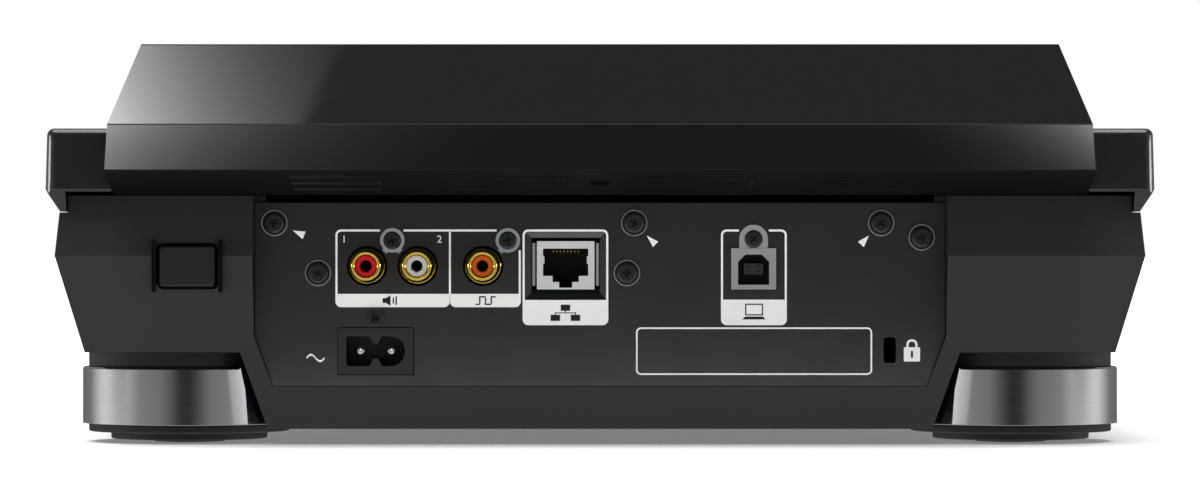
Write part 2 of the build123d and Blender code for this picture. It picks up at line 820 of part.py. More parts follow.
with BuildPart() as rear_panel:
    with BuildSketch(rear_view.offset(-panel_thickness)):
        add(panel_outline(-seam, panel_height))
    extrude(amount=panel_thickness)
    with BuildSketch(rear_view):
        with Locations(lan_place):
            Rectangle(lan_window_width, lan_window_height)
    extrude(amount=-panel_thickness, mode=Mode.SUBTRACT)
    front = rear_panel.faces().sort_by(Axis.Y)[-1]
    chamfer(front.inner_wires().edges(), lan_bevel_width, panel_thickness - seam, reference=front)
    with BuildSketch(rear_view):
        with Locations(*rca_places.values()):
            Circle(sleeve_flange_radius + jack_hole_gap)
        with Locations(usb_place):
            Rectangle(usb_width + 2 * seam, usb_height + 2 * seam)
        with Locations(inlet_place):
            Rectangle(inlet_width + 2 * seam, inlet_height + 2 * seam)
        with Locations(lock_place):
            RectangleRounded(lock_width, lock_height, lock_corner)
        with Locations(*screw_holes):
            Circle(screw_shank_radius + running_gap)
    extrude(amount=-panel_thickness - overrun, mode=Mode.SUBTRACT)
save(rear_panel, "rear_panel")

# Panel screws: washer heads on the sheet, plain small heads on the earth tabs and over the inlet
with BuildPart() as panel_screws:
    with BuildSketch(rear_view):
        with Locations(*panel_screw_places):
            Circle(screw_flange_radius)
    extrude(amount=screw_flange_height)
    with BuildSketch(rear_view):
        with Locations(*panel_screw_places):
            Circle(screw_head_radius)
    extrude(amount=screw_head_height)
    with BuildSketch(rear_view.offset(tab_thickness)):
        with Locations(*tab_places, usb_screw_place):
            Circle(small_head_radius)
    extrude(amount=screw_head_height)
    with BuildSketch(rear_view):
        with Locations(inlet_screw_place):
            Circle(small_head_radius)
    extrude(amount=screw_head_height)
    for face in panel_screws.faces().filter_by(Axis.Y).filter_by(lambda face: face.normal_at().Y > 0):
        if face.center().Y > panel_face + screw_flange_height + tab_thickness:
            fillet(face.edges(), screw_head_edge)
    with BuildSketch(rear_view):
        with Locations(*panel_screw_places, inlet_screw_place):
            Circle(screw_shank_radius)
    extrude(amount=-screw_length)
    with BuildSketch(rear_view.offset(tab_thickness)):
        with Locations(*tab_places, usb_screw_place):
            Circle(screw_shank_radius)
    extrude(amount=-screw_length)
save(panel_screws, "panel_screws")

with BuildPart() as case_screws:
    with BuildSketch(Plane.XY.offset(tub_height + case_screw_head_sink)):
        with Locations(*case_screw_places):
            Circle(small_head_radius)
    extrude(amount=-screw_head_height)
    with BuildSketch(Plane.XY.offset(tub_height + case_screw_head_sink)):
        with Locations(*case_screw_places):
            Circle(screw_shank_radius)
    extrude(amount=screw_length)
save(case_screws, "case_screws")

# Phono sockets: turned sleeves over coloured insulators, in moulded blocks with earth tabs
with BuildPart() as rca_sleeves:
    with BuildSketch(rear_view.offset(-panel_thickness)):
        with Locations(*rca_places.values()):
            Circle(sleeve_flange_radius)
            Circle(sleeve_bore_radius, mode=Mode.SUBTRACT)
    extrude(amount=panel_thickness + sleeve_flange_height)
    with BuildSketch(rear_view):
        with Locations(*rca_places.values()):
            Circle(sleeve_radius)
            Circle(sleeve_bore_radius, mode=Mode.SUBTRACT)
    extrude(amount=sleeve_reach)
save(rca_sleeves, "rca_sleeves")

for colour, place in rca_places.items():
    with BuildPart() as insulator:
        with BuildSketch(rear_view.offset(-panel_thickness)):
            with Locations(place):
                Circle(sleeve_bore_radius - running_gap)
                Circle(insulator_bore_radius, mode=Mode.SUBTRACT)
        extrude(amount=panel_thickness + sleeve_reach - insulator_sink)
    save(insulator, f"{colour}_insulator")

audio_width = rca_places["white"][0] - rca_places["red"][0] + 2 * rca_block_margin
with BuildPart() as rca_blocks:
    with BuildSketch(rear_view.offset(-panel_thickness)):
        with Locations((audio_middle, rca_places["red"][1])):
            Rectangle(audio_width, 2 * rca_height)
        with Locations(rca_places["orange"]):
            Rectangle(2 * rca_block_margin, 2 * rca_height)
    extrude(amount=-rca_block_depth)
    with BuildSketch(rear_view.offset(-panel_thickness)):
        with Locations(*tab_places):
            Circle(screw_shank_radius + running_gap)
    extrude(amount=-rca_block_depth - overrun, mode=Mode.SUBTRACT)
save(rca_blocks, "rca_blocks")

with BuildPart() as jack_tabs:
    with BuildSketch(rear_view):
        for place, sides in zip(tab_places, ((-1, 1), (-1,))):
            with Locations(place):
                Circle(tab_radius)
                for side in sides:
                    with Locations((side * tab_radius / 2, -tab_radius + tab_leg / 2)):
                        Rectangle(tab_leg, tab_leg, rotation=45)
                Circle(screw_shank_radius + running_gap, mode=Mode.SUBTRACT)
    extrude(amount=tab_thickness)
save(jack_tabs, "jack_tabs")


# Network socket: a folded tin shield round a black insert with the stepped mouth of its plug
def lan_mouth():
    """The stepped mouth, widest at the top, over the latch's two narrower steps."""
    with BuildSketch() as mouth:
        top = lan_mouth_top
        for half_width, height in zip(lan_mouth_half_widths, lan_mouth_heights):
            with Locations((0, top - height / 2)):
                Rectangle(2 * half_width, height)
            top = top - height
    return mouth.sketch


lan_front = rear_view.offset(-lan_sink)
with BuildPart() as lan_shield:
    with BuildSketch(lan_front):
        with Locations(lan_place):
            Rectangle(lan_width, lan_height)
    extrude(amount=-lan_depth)
    with BuildSketch(lan_front.offset(-lan_wall)):
        with Locations(lan_place):
            Rectangle(lan_width - 2 * lan_wall, lan_height - 2 * lan_wall)
    extrude(amount=-lan_depth, mode=Mode.SUBTRACT)
    with BuildSketch(lan_front):
        with Locations(lan_place):
            add(lan_mouth())
    extrude(amount=-lan_wall, mode=Mode.SUBTRACT)
save(lan_shield, "lan_shield")

with BuildPart() as lan_insert:
    with BuildSketch(lan_front.offset(-lan_wall)):
        with Locations(lan_place):
            Rectangle(lan_width - 2 * lan_wall, lan_height - 2 * lan_wall)
    extrude(amount=lan_wall - lan_depth)
    with BuildSketch(lan_front.offset(-lan_wall)):
        with Locations(lan_place):
            add(lan_mouth())
    extrude(amount=-lan_pocket_depth, mode=Mode.SUBTRACT)
save(lan_insert, "lan_insert")


# Square data socket: a tin shell with an earth tab, round a black insert and its tongue
def usb_mouth():
    """The mouth with its two upper corners cut off."""
    with BuildSketch() as mouth:
        half_width = usb_mouth_width / 2
        half_height = usb_mouth_height / 2
        with BuildLine():
            right = [
                (half_width, -half_height - usb_mouth_drop),
                (half_width, half_height - usb_mouth_corner - usb_mouth_drop),
                (half_width - usb_mouth_corner, half_height - usb_mouth_drop),
            ]
            Polyline(*right, *[(-x, y) for x, y in reversed(right)], close=True)
        make_face()
    return mouth.sketch


usb_front = rear_view.offset(usb_proud)
with BuildPart() as usb_shell:
    with BuildSketch(usb_front):
        with Locations(usb_place):
            Rectangle(usb_width, usb_height)
    extrude(amount=-usb_depth)
    with BuildSketch(usb_front.offset(-usb_wall)):
        with Locations(usb_place):
            Rectangle(usb_width - 2 * usb_wall, usb_height - 2 * usb_wall)
    extrude(amount=-usb_depth, mode=Mode.SUBTRACT)
    with BuildSketch(usb_front):
        with Locations(usb_place):
            add(usb_mouth())
    extrude(amount=-usb_wall, mode=Mode.SUBTRACT)
    with BuildSketch(rear_view):
        tab_foot = usb_place[1] + usb_height / 2 - usb_wall
        with Locations(usb_screw_place):
            Circle(usb_tab_radius)
        with Locations((usb_place[0], (tab_foot + usb_screw_place[1]) / 2)):
            Rectangle(2 * usb_tab_radius, usb_screw_place[1] - tab_foot)
        with Locations((usb_place[0], tab_foot - usb_tab_radius)):
            Rectangle(2 * usb_tab_radius, 2 * usb_tab_radius, mode=Mode.SUBTRACT)
        with Locations(usb_screw_place):
            Circle(screw_shank_radius + running_gap, mode=Mode.SUBTRACT)
    extrude(amount=tab_thickness)
save(usb_shell, "usb_shell")

with BuildPart() as usb_tongue:
    with BuildSketch(usb_front.offset(-usb_wall)):
        with Locations(usb_place):
            Rectangle(usb_width - 2 * usb_wall, usb_height - 2 * usb_wall)
    extrude(amount=usb_wall - usb_depth)
    with BuildSketch(usb_front.offset(-usb_wall)):
        with Locations(usb_place):
            add(usb_mouth())
    extrude(amount=-usb_pocket_depth, mode=Mode.SUBTRACT)
    with BuildSketch(usb_front.offset(-usb_wall - usb_tongue_setback)):
        with Locations(usb_place):
            Rectangle(usb_tongue_width, usb_tongue_height)
    extrude(amount=usb_tongue_setback - usb_pocket_depth)
save(usb_tongue, "usb_tongue")


# Mains inlet: one end of its mouth square and the other round, with a ridge above and below
def inlet_mouth():
    """The inlet's mouth: the outline of its plug, pinched by two tapered ridges."""
    with BuildSketch() as mouth:
        half_height = inlet_mouth_height / 2
        with Locations((-half_height / 2, 0)):
            RectangleRounded(inlet_mouth_width - half_height, inlet_mouth_height, inlet_mouth_corner)
        with Locations((inlet_mouth_width / 2 - half_height, 0)):
            Circle(half_height)
        with BuildLine(mode=Mode.PRIVATE) as ridge:
            Polyline(
                (-inlet_notch_width / 2, half_height),
                (-inlet_notch_tip / 2, half_height - inlet_notch_depth),
                (inlet_notch_tip / 2, half_height - inlet_notch_depth),
                (inlet_notch_width / 2, half_height),
                close=True,
            )
        make_face(ridge.edges(), mode=Mode.SUBTRACT)
        make_face(mirror(ridge.edges(), about=Plane.XZ, mode=Mode.PRIVATE).edges(), mode=Mode.SUBTRACT)
    return mouth.sketch


with BuildPart() as inlet_housing:
    with BuildSketch(rear_view.offset(inlet_proud)):
        with Locations(inlet_place):
            Rectangle(inlet_width, inlet_height)
    extrude(amount=-inlet_depth)
    with BuildSketch(rear_view.offset(inlet_proud)):
        with Locations(inlet_place):
            add(inlet_mouth())
    extrude(amount=-inlet_mouth_depth, mode=Mode.SUBTRACT)
save(inlet_housing, "inlet_housing")

with BuildPart() as inlet_pins:
    with BuildSketch(rear_view.offset(inlet_proud - inlet_mouth_depth)):
        with Locations(inlet_place):
            with GridLocations(inlet_pin_pitch, 0, 2, 1):
                Circle(inlet_pin_radius)
    extrude(amount=inlet_mouth_depth - inlet_pin_setback)
    fillet(inlet_pins.faces().sort_by(Axis.Y)[-2:].edges(), inlet_pin_radius / 2)
save(inlet_pins, "inlet_pins")

# Circuit boards on the case's posts
with BuildPart() as main_board:
    with BuildSketch(Plane.XY.offset(jack_board_height)):
        with Locations((main_board_shift, board_rear - main_board_depth / 2)):
            Rectangle(2 * main_board_half_width, main_board_depth)
    extrude(amount=-board_thickness)
save(main_board, "main_board")

with BuildPart() as power_board:
    with BuildSketch(Plane.XY.offset(power_board_top)):
        with Locations((power_board_middle, board_rear - power_board_depth / 2)):
            Rectangle(2 * power_board_half_width, power_board_depth)
    extrude(amount=-board_thickness)
save(power_board, "power_board")

# Feet: a rubber collar under the shoulder, a bright metal ring round its stem, a stepped rubber pad
with BuildPart() as foot_collars:
    with BuildSketch(Plane.XY.offset(ring_top)):
        with Locations(*foot_places):
            Circle(collar_radius)
    extrude(amount=shoulder_height - ring_top)
    with BuildSketch(Plane.XY.offset(ring_bottom)):
        with Locations(*foot_places):
            Circle(ring_bore_radius)
    extrude(amount=ring_top - ring_bottom)
save(foot_collars, "foot_collars")

with BuildPart() as foot_rings:
    with BuildSketch(Plane.XY.offset(ring_bottom)):
        with Locations(*foot_places):
            Circle(ring_radius)
            Circle(ring_bore_radius + running_gap, mode=Mode.SUBTRACT)
    extrude(amount=ring_top - ring_bottom)
    round_edges = foot_rings.edges().filter_by(GeomType.CIRCLE)
    chamfer(round_edges.filter_by(lambda edge: edge.radius > collar_radius), ring_edge)
save(foot_rings, "foot_rings")

with BuildPart() as foot_pads:
    for radius, bottom, top in (
        (pad_radius, pad_step_height, ring_bottom),
        (pad_step_radius, pad_foot_height, pad_step_height),
        (pad_foot_radius, 0, pad_foot_height),
    ):
        with BuildSketch(Plane.XY.offset(bottom)):
            with Locations(*foot_places):
                Circle(radius)
        extrude(amount=top - bottom)
save(foot_pads, "foot_pads")

# Power button, its guard in the case wall, and the latching switch behind it
power_face = deck_rear - rear_belt_setback + power_rise
power_front = Plane(origin=(power_side, power_inner_face, power_middle), x_dir=(-1, 0, 0), z_dir=(0, 1, 0))
with BuildPart() as power_button:
    with BuildSketch(power_front.offset(-seam - flange_thickness)):
        RectangleRounded(power_width, power_height, power_corner)
    extrude(amount=power_face - power_inner_face + seam + flange_thickness)
    fillet(power_button.faces().sort_by(Axis.Y)[-1].edges(), power_corner / 2)
    with BuildSketch(power_front.offset(-seam - flange_thickness)):
        grown = power_gap + flange_width
        RectangleRounded(power_width + 2 * grown, power_height + 2 * grown, power_corner + grown)
    extrude(amount=flange_thickness)
    with BuildSketch(power_front.offset(-seam - flange_thickness)):
        Circle(power_height / 4)
    extrude(amount=-power_stem_length)
save(power_button, "power_button")

with BuildPart() as power_switch:
    with BuildSketch(Plane.XZ.offset(-power_switch_front)):
        with Locations((power_side, power_middle)):
            Rectangle(power_width, power_height)
    extrude(amount=power_switch_depth)
save(power_switch, "power_switch")


# Push keys: a cap through the panel, a flange that keeps it in, a stem over its switch
def push_key(name, surface, skin, place):
    """One key in a panel of a given skin thickness, pressed square to the panel's surface."""
    with BuildPart() as key:
        with BuildSketch(surface.offset(key_rise)):
            with Locations(place):
                add(key_outline(name, 0))
        extrude(amount=-(key_rise + skin + seam + flange_thickness))
        fillet(key.faces().sort_by(Axis(surface.origin, surface.z_dir))[-1].edges(), key_edge)
        with BuildSketch(surface.offset(-(skin + seam))):
            with Locations(place):
                add(key_outline(name, flange_width + shake))
        extrude(amount=-flange_thickness)
        with BuildSketch(surface.offset(-(skin + seam + flange_thickness))):
            with Locations(place):
                Circle(key_stem_radius)
        extrude(amount=-key_stem_length)
    save(key, name)


for name, place in deck_keys.items():
    push_key(name, deck, deck_skin, place)
for name, place in hood_keys.items():
    push_key(name, display, bezel_thickness, place)

# Key boards: one down each side of the deck and a small one under the bezel
board_outer = deck_half_width - skirt_wall - key_board_margin
board_inner = jog_radius + jog_base_margin + key_board_margin
board_rear_edge = key_board_rear_share * deck_front
wing_front_edge = key_board_wing_share * deck_front
hood_board_plane = display.offset(key_board_top - deck_under - bezel_thickness)
with BuildPart() as key_boards:
    with BuildSketch(Plane.XY.offset(key_board_top)):
        for side, front_share, wing_share in (
            (-1, key_board_front_share, left_wing_share),
            (1, right_board_front_share, right_wing_share),
        ):
            with BuildLine():
                front_edge = front_share * deck_front
                wing_edge = side * (jog_radius + wing_share * jog_side_margin)
                Polyline(
                    (side * board_outer, front_edge),
                    (side * board_inner, front_edge),
                    (side * board_inner, wing_front_edge),
                    (wing_edge, wing_front_edge),
                    (wing_edge, board_rear_edge),
                    (side * board_outer, board_rear_edge),
                    close=True,
                )
            make_face()
    extrude(amount=-board_thickness)
    with BuildSketch(hood_board_plane):
        with Locations((hood_board_x, hood_board_y)):
            Rectangle(2 * hood_board_half_width, 2 * hood_board_half_height)
    extrude(amount=-board_thickness)
save(key_boards, "key_boards")

with BuildPart() as tact_switches:
    with BuildSketch(Plane.XY.offset(key_board_top)):
        with Locations(*deck_keys.values()):
            Rectangle(tact_size, tact_size)
    extrude(amount=tact_height)
    with BuildSketch(hood_board_plane):
        with Locations(*hood_keys.values()):
            Rectangle(tact_size, tact_size)
    extrude(amount=tact_height)
save(tact_switches, "tact_switches")

# Jog wheel: a dished wheel with finger dimples round its rim, running on a bearing over a fixed post
rim_top = deck_height + jog_rise
rim_bottom = deck_height - jog_sink
plate_seat = rim_top - jog_plate_thickness
web_top = rim_top - jog_display_sink - jog_display_thickness - shake
bearing_radius = jog_post_radius + jog_bearing_width
hub_bore = bearing_radius + running_gap
hub_bottom = web_top - jog_web - jog_hub_drop
plate_bore = jog_display_radius + jog_gap
plate_radius = jog_radius - jog_rim_width
jog_axis = Plane((0, jog_middle, 0), x_dir=(1, 0, 0), z_dir=(0, -1, 0))
with BuildPart() as jog_wheel:
    with BuildSketch(jog_axis):
        with BuildLine():
            Polyline(
                (hub_bore, hub_bottom),
                (hub_bore + jog_hub_wall, hub_bottom),
                (hub_bore + jog_hub_wall, web_top - jog_web),
                (plate_radius, web_top - jog_web),
                (plate_radius, rim_bottom),
                (jog_radius, rim_bottom),
                (jog_radius, rim_top - jog_bevel_drop),
                (jog_radius - jog_bevel, rim_top),
                (plate_radius, rim_top),
                (plate_radius, plate_seat),
                (plate_bore, plate_seat),
                (plate_bore, web_top),
                (hub_bore, web_top),
                close=True,
            )
        make_face()
    revolve(axis=Axis((0, jog_middle, 0), (0, 0, 1)))
    with Locations((0, jog_middle, rim_top - jog_bevel_drop / 2 + dimple_radius - dimple_depth)):
        with PolarLocations(jog_radius - jog_bevel / 2 + dimple_depth, dimple_count):
            Sphere(dimple_radius, mode=Mode.SUBTRACT)
save(jog_wheel, "jog_wheel")

with BuildPart() as jog_plate:
    with BuildSketch(Plane.XY.offset(plate_seat)):
        with Locations((0, jog_middle)):
            Circle(plate_radius - seam)
            Circle(plate_bore, mode=Mode.SUBTRACT)
    extrude(amount=jog_plate_thickness)
save(jog_plate, "jog_plate")

with BuildPart() as jog_display:
    with BuildSketch(Plane.XY.offset(rim_top - jog_display_sink)):
        with Locations((0, jog_middle)):
            Circle(jog_display_radius)
    extrude(amount=-jog_display_thickness)
save(jog_display, "jog_display")

bearing_bottom = hub_bottom + jog_bearing_height / 4
jog_base_radius = jog_radius + jog_base_margin
jog_base_height = deck_height - jog_base_drop
jog_base_top = jog_base_height + jog_base_thickness
with BuildPart() as jog_base:
    with BuildSketch(Plane.XY.offset(jog_base_height)):
        with Locations((0, jog_middle)):
            Circle(jog_base_radius)
    extrude(amount=jog_base_thickness)
    with BuildSketch(Plane.XY.offset(jog_base_top)):
        with Locations((0, jog_middle)):
            Circle(jog_post_radius)
    extrude(amount=rim_top - jog_display_sink - jog_display_thickness - jog_base_top)
    with BuildSketch(Plane.XY.offset(jog_base_top)):
        with Locations((0, jog_middle)):
            Circle(jog_post_radius + jog_collar)
    extrude(amount=bearing_bottom - jog_base_top)
    with BuildSketch(Plane.XY.offset(jog_base_top)):
        with Locations((0, jog_middle)):
            with PolarLocations(jog_base_radius - jog_pillar_radius - jog_pillar_inset, jog_pillar_count):
                Circle(jog_pillar_radius)
    extrude(amount=deck_under - jog_base_top)
save(jog_base, "jog_base")

with BuildPart() as jog_bearing:
    with BuildSketch(Plane.XY.offset(bearing_bottom)):
        with Locations((0, jog_middle)):
            Circle(bearing_radius)
            Circle(jog_post_radius + running_gap, mode=Mode.SUBTRACT)
    extrude(amount=jog_bearing_height)
save(jog_bearing, "jog_bearing")

# Tempo fader: a channel under the deck and a waisted cap on a stem that runs in it
fader_body_length = fader_slot_length + 2 * fader_body_margin
with BuildPart() as fader_body:
    with BuildSketch(Plane.XY.offset(deck_under)):
        with Locations(fader_place):
            Rectangle(fader_body_width, fader_body_length)
    extrude(amount=-fader_body_height)
    with BuildSketch(Plane.XY.offset(deck_under)):
        with Locations(fader_place):
            SlotOverall(fader_slot_length, fader_slot_width, rotation=90)
    extrude(amount=-fader_channel_depth, mode=Mode.SUBTRACT)
save(fader_body, "fader_body")

with BuildPart() as tempo_knob:
    with BuildSketch(deck.offset(fader_cap_gap)):
        with Locations(fader_place):
            Rectangle(fader_cap_width, fader_cap_length)
    extrude(amount=fader_cap_height)
    with BuildSketch(Plane.YZ.offset(fader_place[0])):
        with Locations((fader_place[1], deck_height + fader_cap_gap + fader_cap_height)):
            Ellipse(fader_cap_length / 2 - fader_cap_waist, fader_cap_waist)
    extrude(amount=fader_cap_width, both=True, mode=Mode.SUBTRACT)
    fillet(tempo_knob.edges().filter_by(Axis.Z), fader_cap_waist / 2)
    with BuildSketch(deck.offset(fader_cap_gap)):
        with Locations(fader_place):
            Rectangle(fader_slot_width - 2 * shake, fader_stem_length)
    extrude(amount=-(fader_cap_gap + deck_skin + fader_channel_depth - shake))
save(tempo_knob, "tempo_knob")

# Direction lever: a cap on a stem through its slot, kept in by a plate under the deck
with BuildPart() as direction_lever:
    with BuildSketch(deck.offset(fader_cap_gap)):
        with Locations(lever_place):
            RectangleRounded(lever_width, lever_length, key_corner)
    extrude(amount=lever_rise)
    fillet(direction_lever.faces().sort_by(Axis.Z)[-1].edges(), key_edge)
    with BuildSketch(deck.offset(fader_cap_gap)):
        with Locations(lever_place):
            Rectangle(lever_stem_width, lever_stem_width)
    extrude(amount=-(fader_cap_gap + deck_skin + seam))
    with BuildSketch(Plane.XY.offset(deck_under - seam)):
        with Locations(lever_place):
            Rectangle(lever_width, lever_slot_length + lever_plate_margin)
    extrude(amount=-flange_thickness)
save(direction_lever, "direction_lever")

# Turning knobs on the deck, each on the shaft of a potentiometer under it
for name, place in deck_knobs.items():
    with BuildPart() as knob:
        with BuildSketch(deck.offset(knob_gap)):
            with Locations(place):
                Circle(knob_radius)
        extrude(amount=knob_height)
        fillet(knob.faces().sort_by(Axis.Z)[-1].edges(), knob_edge)
        with BuildSketch(deck.offset(knob_gap)):
            with Locations(place):
                Circle(knob_shaft_radius)
        extrude(amount=-(knob_gap + deck_skin + pot_bore_depth - shake))
    save(knob, name)

# Browse knob: turns on its shaft, and the shaft is pressed into the encoder
browse_gap = browse_push + knob_gap
browse_reach = bezel_thickness + pot_bore_depth - browse_push - shake
with BuildPart() as browse_shaft:
    with BuildSketch(display.offset(browse_gap + browse_socket_depth)):
        with Locations(browse_place):
            Circle(knob_shaft_radius)
    extrude(amount=-(browse_gap + browse_socket_depth + browse_reach))
save(browse_shaft, "browse_shaft")

with BuildPart() as browse_knob:
    with BuildSketch(display.offset(browse_gap)):
        with Locations(browse_place):
            Circle(browse_radius)
    extrude(amount=browse_height)
    fillet(browse_knob.faces().sort_by(Axis(display.origin, display.z_dir))[-1].edges(), knob_edge)
    with BuildSketch(display.offset(browse_gap)):
        with Locations(browse_place):
            Circle(knob_shaft_radius + running_gap)
    extrude(amount=browse_socket_depth + seam, mode=Mode.SUBTRACT)
save(browse_knob, "browse_knob")

with BuildPart() as control_pots:
    with BuildSketch(Plane.XY.offset(deck_under)):
        with Locations(*deck_knobs.values()):
            Rectangle(pot_size, pot_size)
            Circle(knob_shaft_radius + running_gap, mode=Mode.SUBTRACT)
    extrude(amount=-pot_height)
    with BuildSketch(display.offset(-bezel_thickness)):
        with Locations(browse_place):
            Rectangle(pot_size, pot_size)
            Circle(knob_shaft_radius + running_gap, mode=Mode.SUBTRACT)
    extrude(amount=-pot_height)
save(control_pots, "control_pots")
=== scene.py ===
import json
from math import cos, pi, radians, sin

import bpy
import bmesh
from mathutils import Matrix, Vector

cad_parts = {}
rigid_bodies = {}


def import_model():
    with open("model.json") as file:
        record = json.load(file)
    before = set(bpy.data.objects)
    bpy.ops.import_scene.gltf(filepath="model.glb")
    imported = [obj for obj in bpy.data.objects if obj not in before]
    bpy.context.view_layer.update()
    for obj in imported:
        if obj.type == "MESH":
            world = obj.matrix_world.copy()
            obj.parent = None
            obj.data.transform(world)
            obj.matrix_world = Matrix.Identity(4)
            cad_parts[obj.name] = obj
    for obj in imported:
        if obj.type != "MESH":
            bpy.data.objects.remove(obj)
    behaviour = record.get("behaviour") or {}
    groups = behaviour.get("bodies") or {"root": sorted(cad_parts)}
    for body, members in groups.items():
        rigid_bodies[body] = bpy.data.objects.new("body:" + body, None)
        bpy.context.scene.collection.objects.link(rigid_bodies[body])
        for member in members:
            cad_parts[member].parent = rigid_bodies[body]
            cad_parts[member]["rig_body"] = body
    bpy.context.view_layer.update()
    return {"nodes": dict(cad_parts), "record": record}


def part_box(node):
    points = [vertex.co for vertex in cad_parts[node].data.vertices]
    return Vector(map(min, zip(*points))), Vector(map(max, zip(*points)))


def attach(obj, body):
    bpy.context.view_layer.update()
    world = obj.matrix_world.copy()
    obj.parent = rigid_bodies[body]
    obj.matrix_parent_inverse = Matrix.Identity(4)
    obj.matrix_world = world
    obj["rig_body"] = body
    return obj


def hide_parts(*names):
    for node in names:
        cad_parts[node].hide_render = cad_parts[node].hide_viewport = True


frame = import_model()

# Studio
# The player stands on a white table, lit from below, in a white room with soft light walls on both sides.
# The camera looks straight at the sockets from about a metre and a half, at the height of the case's middle.
# Sizes here and below are in millimetres, times MM where they are kept in metres, and angles in degrees.
MM = 0.001
camera_distance = 1620.5 * MM
camera_height = 56 * MM
camera_lens = 158.2
camera_sensor = 36.0
table_size = 40000 * MM
table_white = "F6F6F6"
table_lamps = 0.2
daylight = 5.0
daylight_spread = 60
daylight_lean = (-10, 6, 0)
daylight_height = 2000 * MM
# The light of the walls at shares of the way round, from straight behind the player to straight before it
wall_lights = (
    (0.0, 0.03), (0.04, 0.06), (0.09, 0.22), (0.16, 0.40), (0.28, 0.45), (0.36, 0.90),
    (0.47, 1.30), (0.57, 1.50), (0.63, 1.00), (0.71, 0.34), (0.85, 0.20), (1.0, 0.15),
)
# The walls are low. A shiny surface sees a dim ceiling above them, and well below the horizon the white
# table. Each pair is where the one fades into the other, as the sine of the angle over the horizon
ceiling_fade = (0.06, 0.22)
ceiling_glow = 0.28
table_fade = (-0.14, -0.5)
table_glow = 0.8


def colour(hexa):
    """A linear colour with full opacity from an sRGB hex value."""
    parts = [int(hexa[start:start + 2], 16) / 255 for start in (0, 2, 4)]
    return [part / 12.92 if part <= 0.04045 else ((part + 0.055) / 1.055) ** 2.4 for part in parts] + [1.0]


def grey(level):
    """The linear colour of a white light at a given level."""
    return (level, level, level, 1.0)


def add(tree, kind, inputs=None, **settings):
    """Add a node, give it its settings, and set or link each named or numbered input."""
    made = tree.nodes.new(kind)
    for name, value in settings.items():
        setattr(made, name, value)
    for name, value in (inputs or {}).items():
        if isinstance(value, bpy.types.NodeSocket):
            tree.links.new(value, made.inputs[name])
        else:
            made.inputs[name].default_value = value
    return made


def start_material(name, base, **inputs):
    """A new material, its node tree and its Principled shader, with the values that hold all over it."""
    material = bpy.data.materials.new(name)
    material.use_nodes = True
    shader = material.node_tree.nodes["Principled BSDF"]
    shader.inputs["Base Color"].default_value = colour(base)
    for socket, value in inputs.items():
        shader.inputs[socket.replace("_", " ")].default_value = value
    return material, material.node_tree, shader


bpy.ops.object.select_all(action="DESELECT")
bpy.ops.object.camera_add(location=(0, camera_distance, camera_height), rotation=(pi / 2, 0, pi))
camera = bpy.context.object
camera.data.lens = camera_lens
camera.data.sensor_width = camera_sensor
camera.data.clip_end = table_size
bpy.context.scene.camera = camera
bpy.context.scene.view_settings.view_transform = "Standard"

bpy.ops.object.select_all(action="DESELECT")
bpy.ops.mesh.primitive_plane_add(size=table_size, location=(0, 0, 0))
table = bpy.context.object
table.name = "table"
# Opal acrylic with lamps under it: matt, and white right up to what stands on it
opal_acrylic, tree, shader = start_material(
    "opal_light_table", table_white, Roughness=0.7, Emission_Strength=table_lamps)
shader.inputs["Emission Color"].default_value = colour(table_white)
table.data.materials.append(opal_acrylic)
# The metal mirrors the room and not the table, as it does in a picture with a table lit from below
table.visible_glossy = False

bpy.ops.object.select_all(action="DESELECT")
bpy.ops.object.light_add(
    type="SUN", location=(0, 0, daylight_height), rotation=[radians(turn) for turn in daylight_lean])
overhead = bpy.context.object
overhead.name = "overhead_light"
overhead.data.energy = daylight
overhead.data.angle = radians(daylight_spread)

room = bpy.data.worlds.new("studio_room")
bpy.context.scene.world = room
room.use_nodes = True
tree = room.node_tree
tree.nodes.clear()
direction = add(tree, "ShaderNodeTexCoord").outputs["Generated"]
axes = add(tree, "ShaderNodeSeparateXYZ", {"Vector": direction}).outputs
turn = add(tree, "ShaderNodeMath", {0: axes["X"], 1: axes["Y"]}, operation="ARCTAN2").outputs[0]
aside = add(tree, "ShaderNodeMath", {0: turn}, operation="ABSOLUTE").outputs[0]
turn_share = add(tree, "ShaderNodeMath", {0: aside, 1: pi}, operation="DIVIDE").outputs[0]
walls = add(tree, "ShaderNodeValToRGB", {"Fac": turn_share})
stops = walls.color_ramp.elements
while len(stops) < len(wall_lights):
    stops.new(0.5)
for stop, (share, level) in zip(stops, wall_lights):
    stop.position = share
    stop.color = grey(level)
around = walls.outputs["Color"]
for (start, end), glow in ((ceiling_fade, ceiling_glow), (table_fade, table_glow)):
    beyond = add(tree, "ShaderNodeMapRange", {"Value": axes["Z"], "From Min": start, "From Max": end})
    around = add(tree, "ShaderNodeMix", {
        0: beyond.outputs[0], 6: around, 7: grey(glow),
    }, data_type="RGBA").outputs[2]
wall_light = add(tree, "ShaderNodeBackground", {"Color": around}).outputs[0]
white_room = add(tree, "ShaderNodeBackground", {"Color": grey(1.0)}).outputs[0]
backdrop = add(tree, "ShaderNodeLightPath").outputs["Is Camera Ray"]
room_light = add(tree, "ShaderNodeMixShader", {0: backdrop, 1: wall_light, 2: white_room}).outputs[0]
add(tree, "ShaderNodeOutputWorld", {"Surface": room_light})

# Bottom case
# The lower shell is one moulding of black ABS, with a fine spark-eroded grain that spreads its sheen. The
# mould leaves its edges rounded by a few tenths of a millimetre, and they catch the light.
case_black = "1B1B1C"
case_grain = 0.45
case_edge = 0.35
patch_share = 40
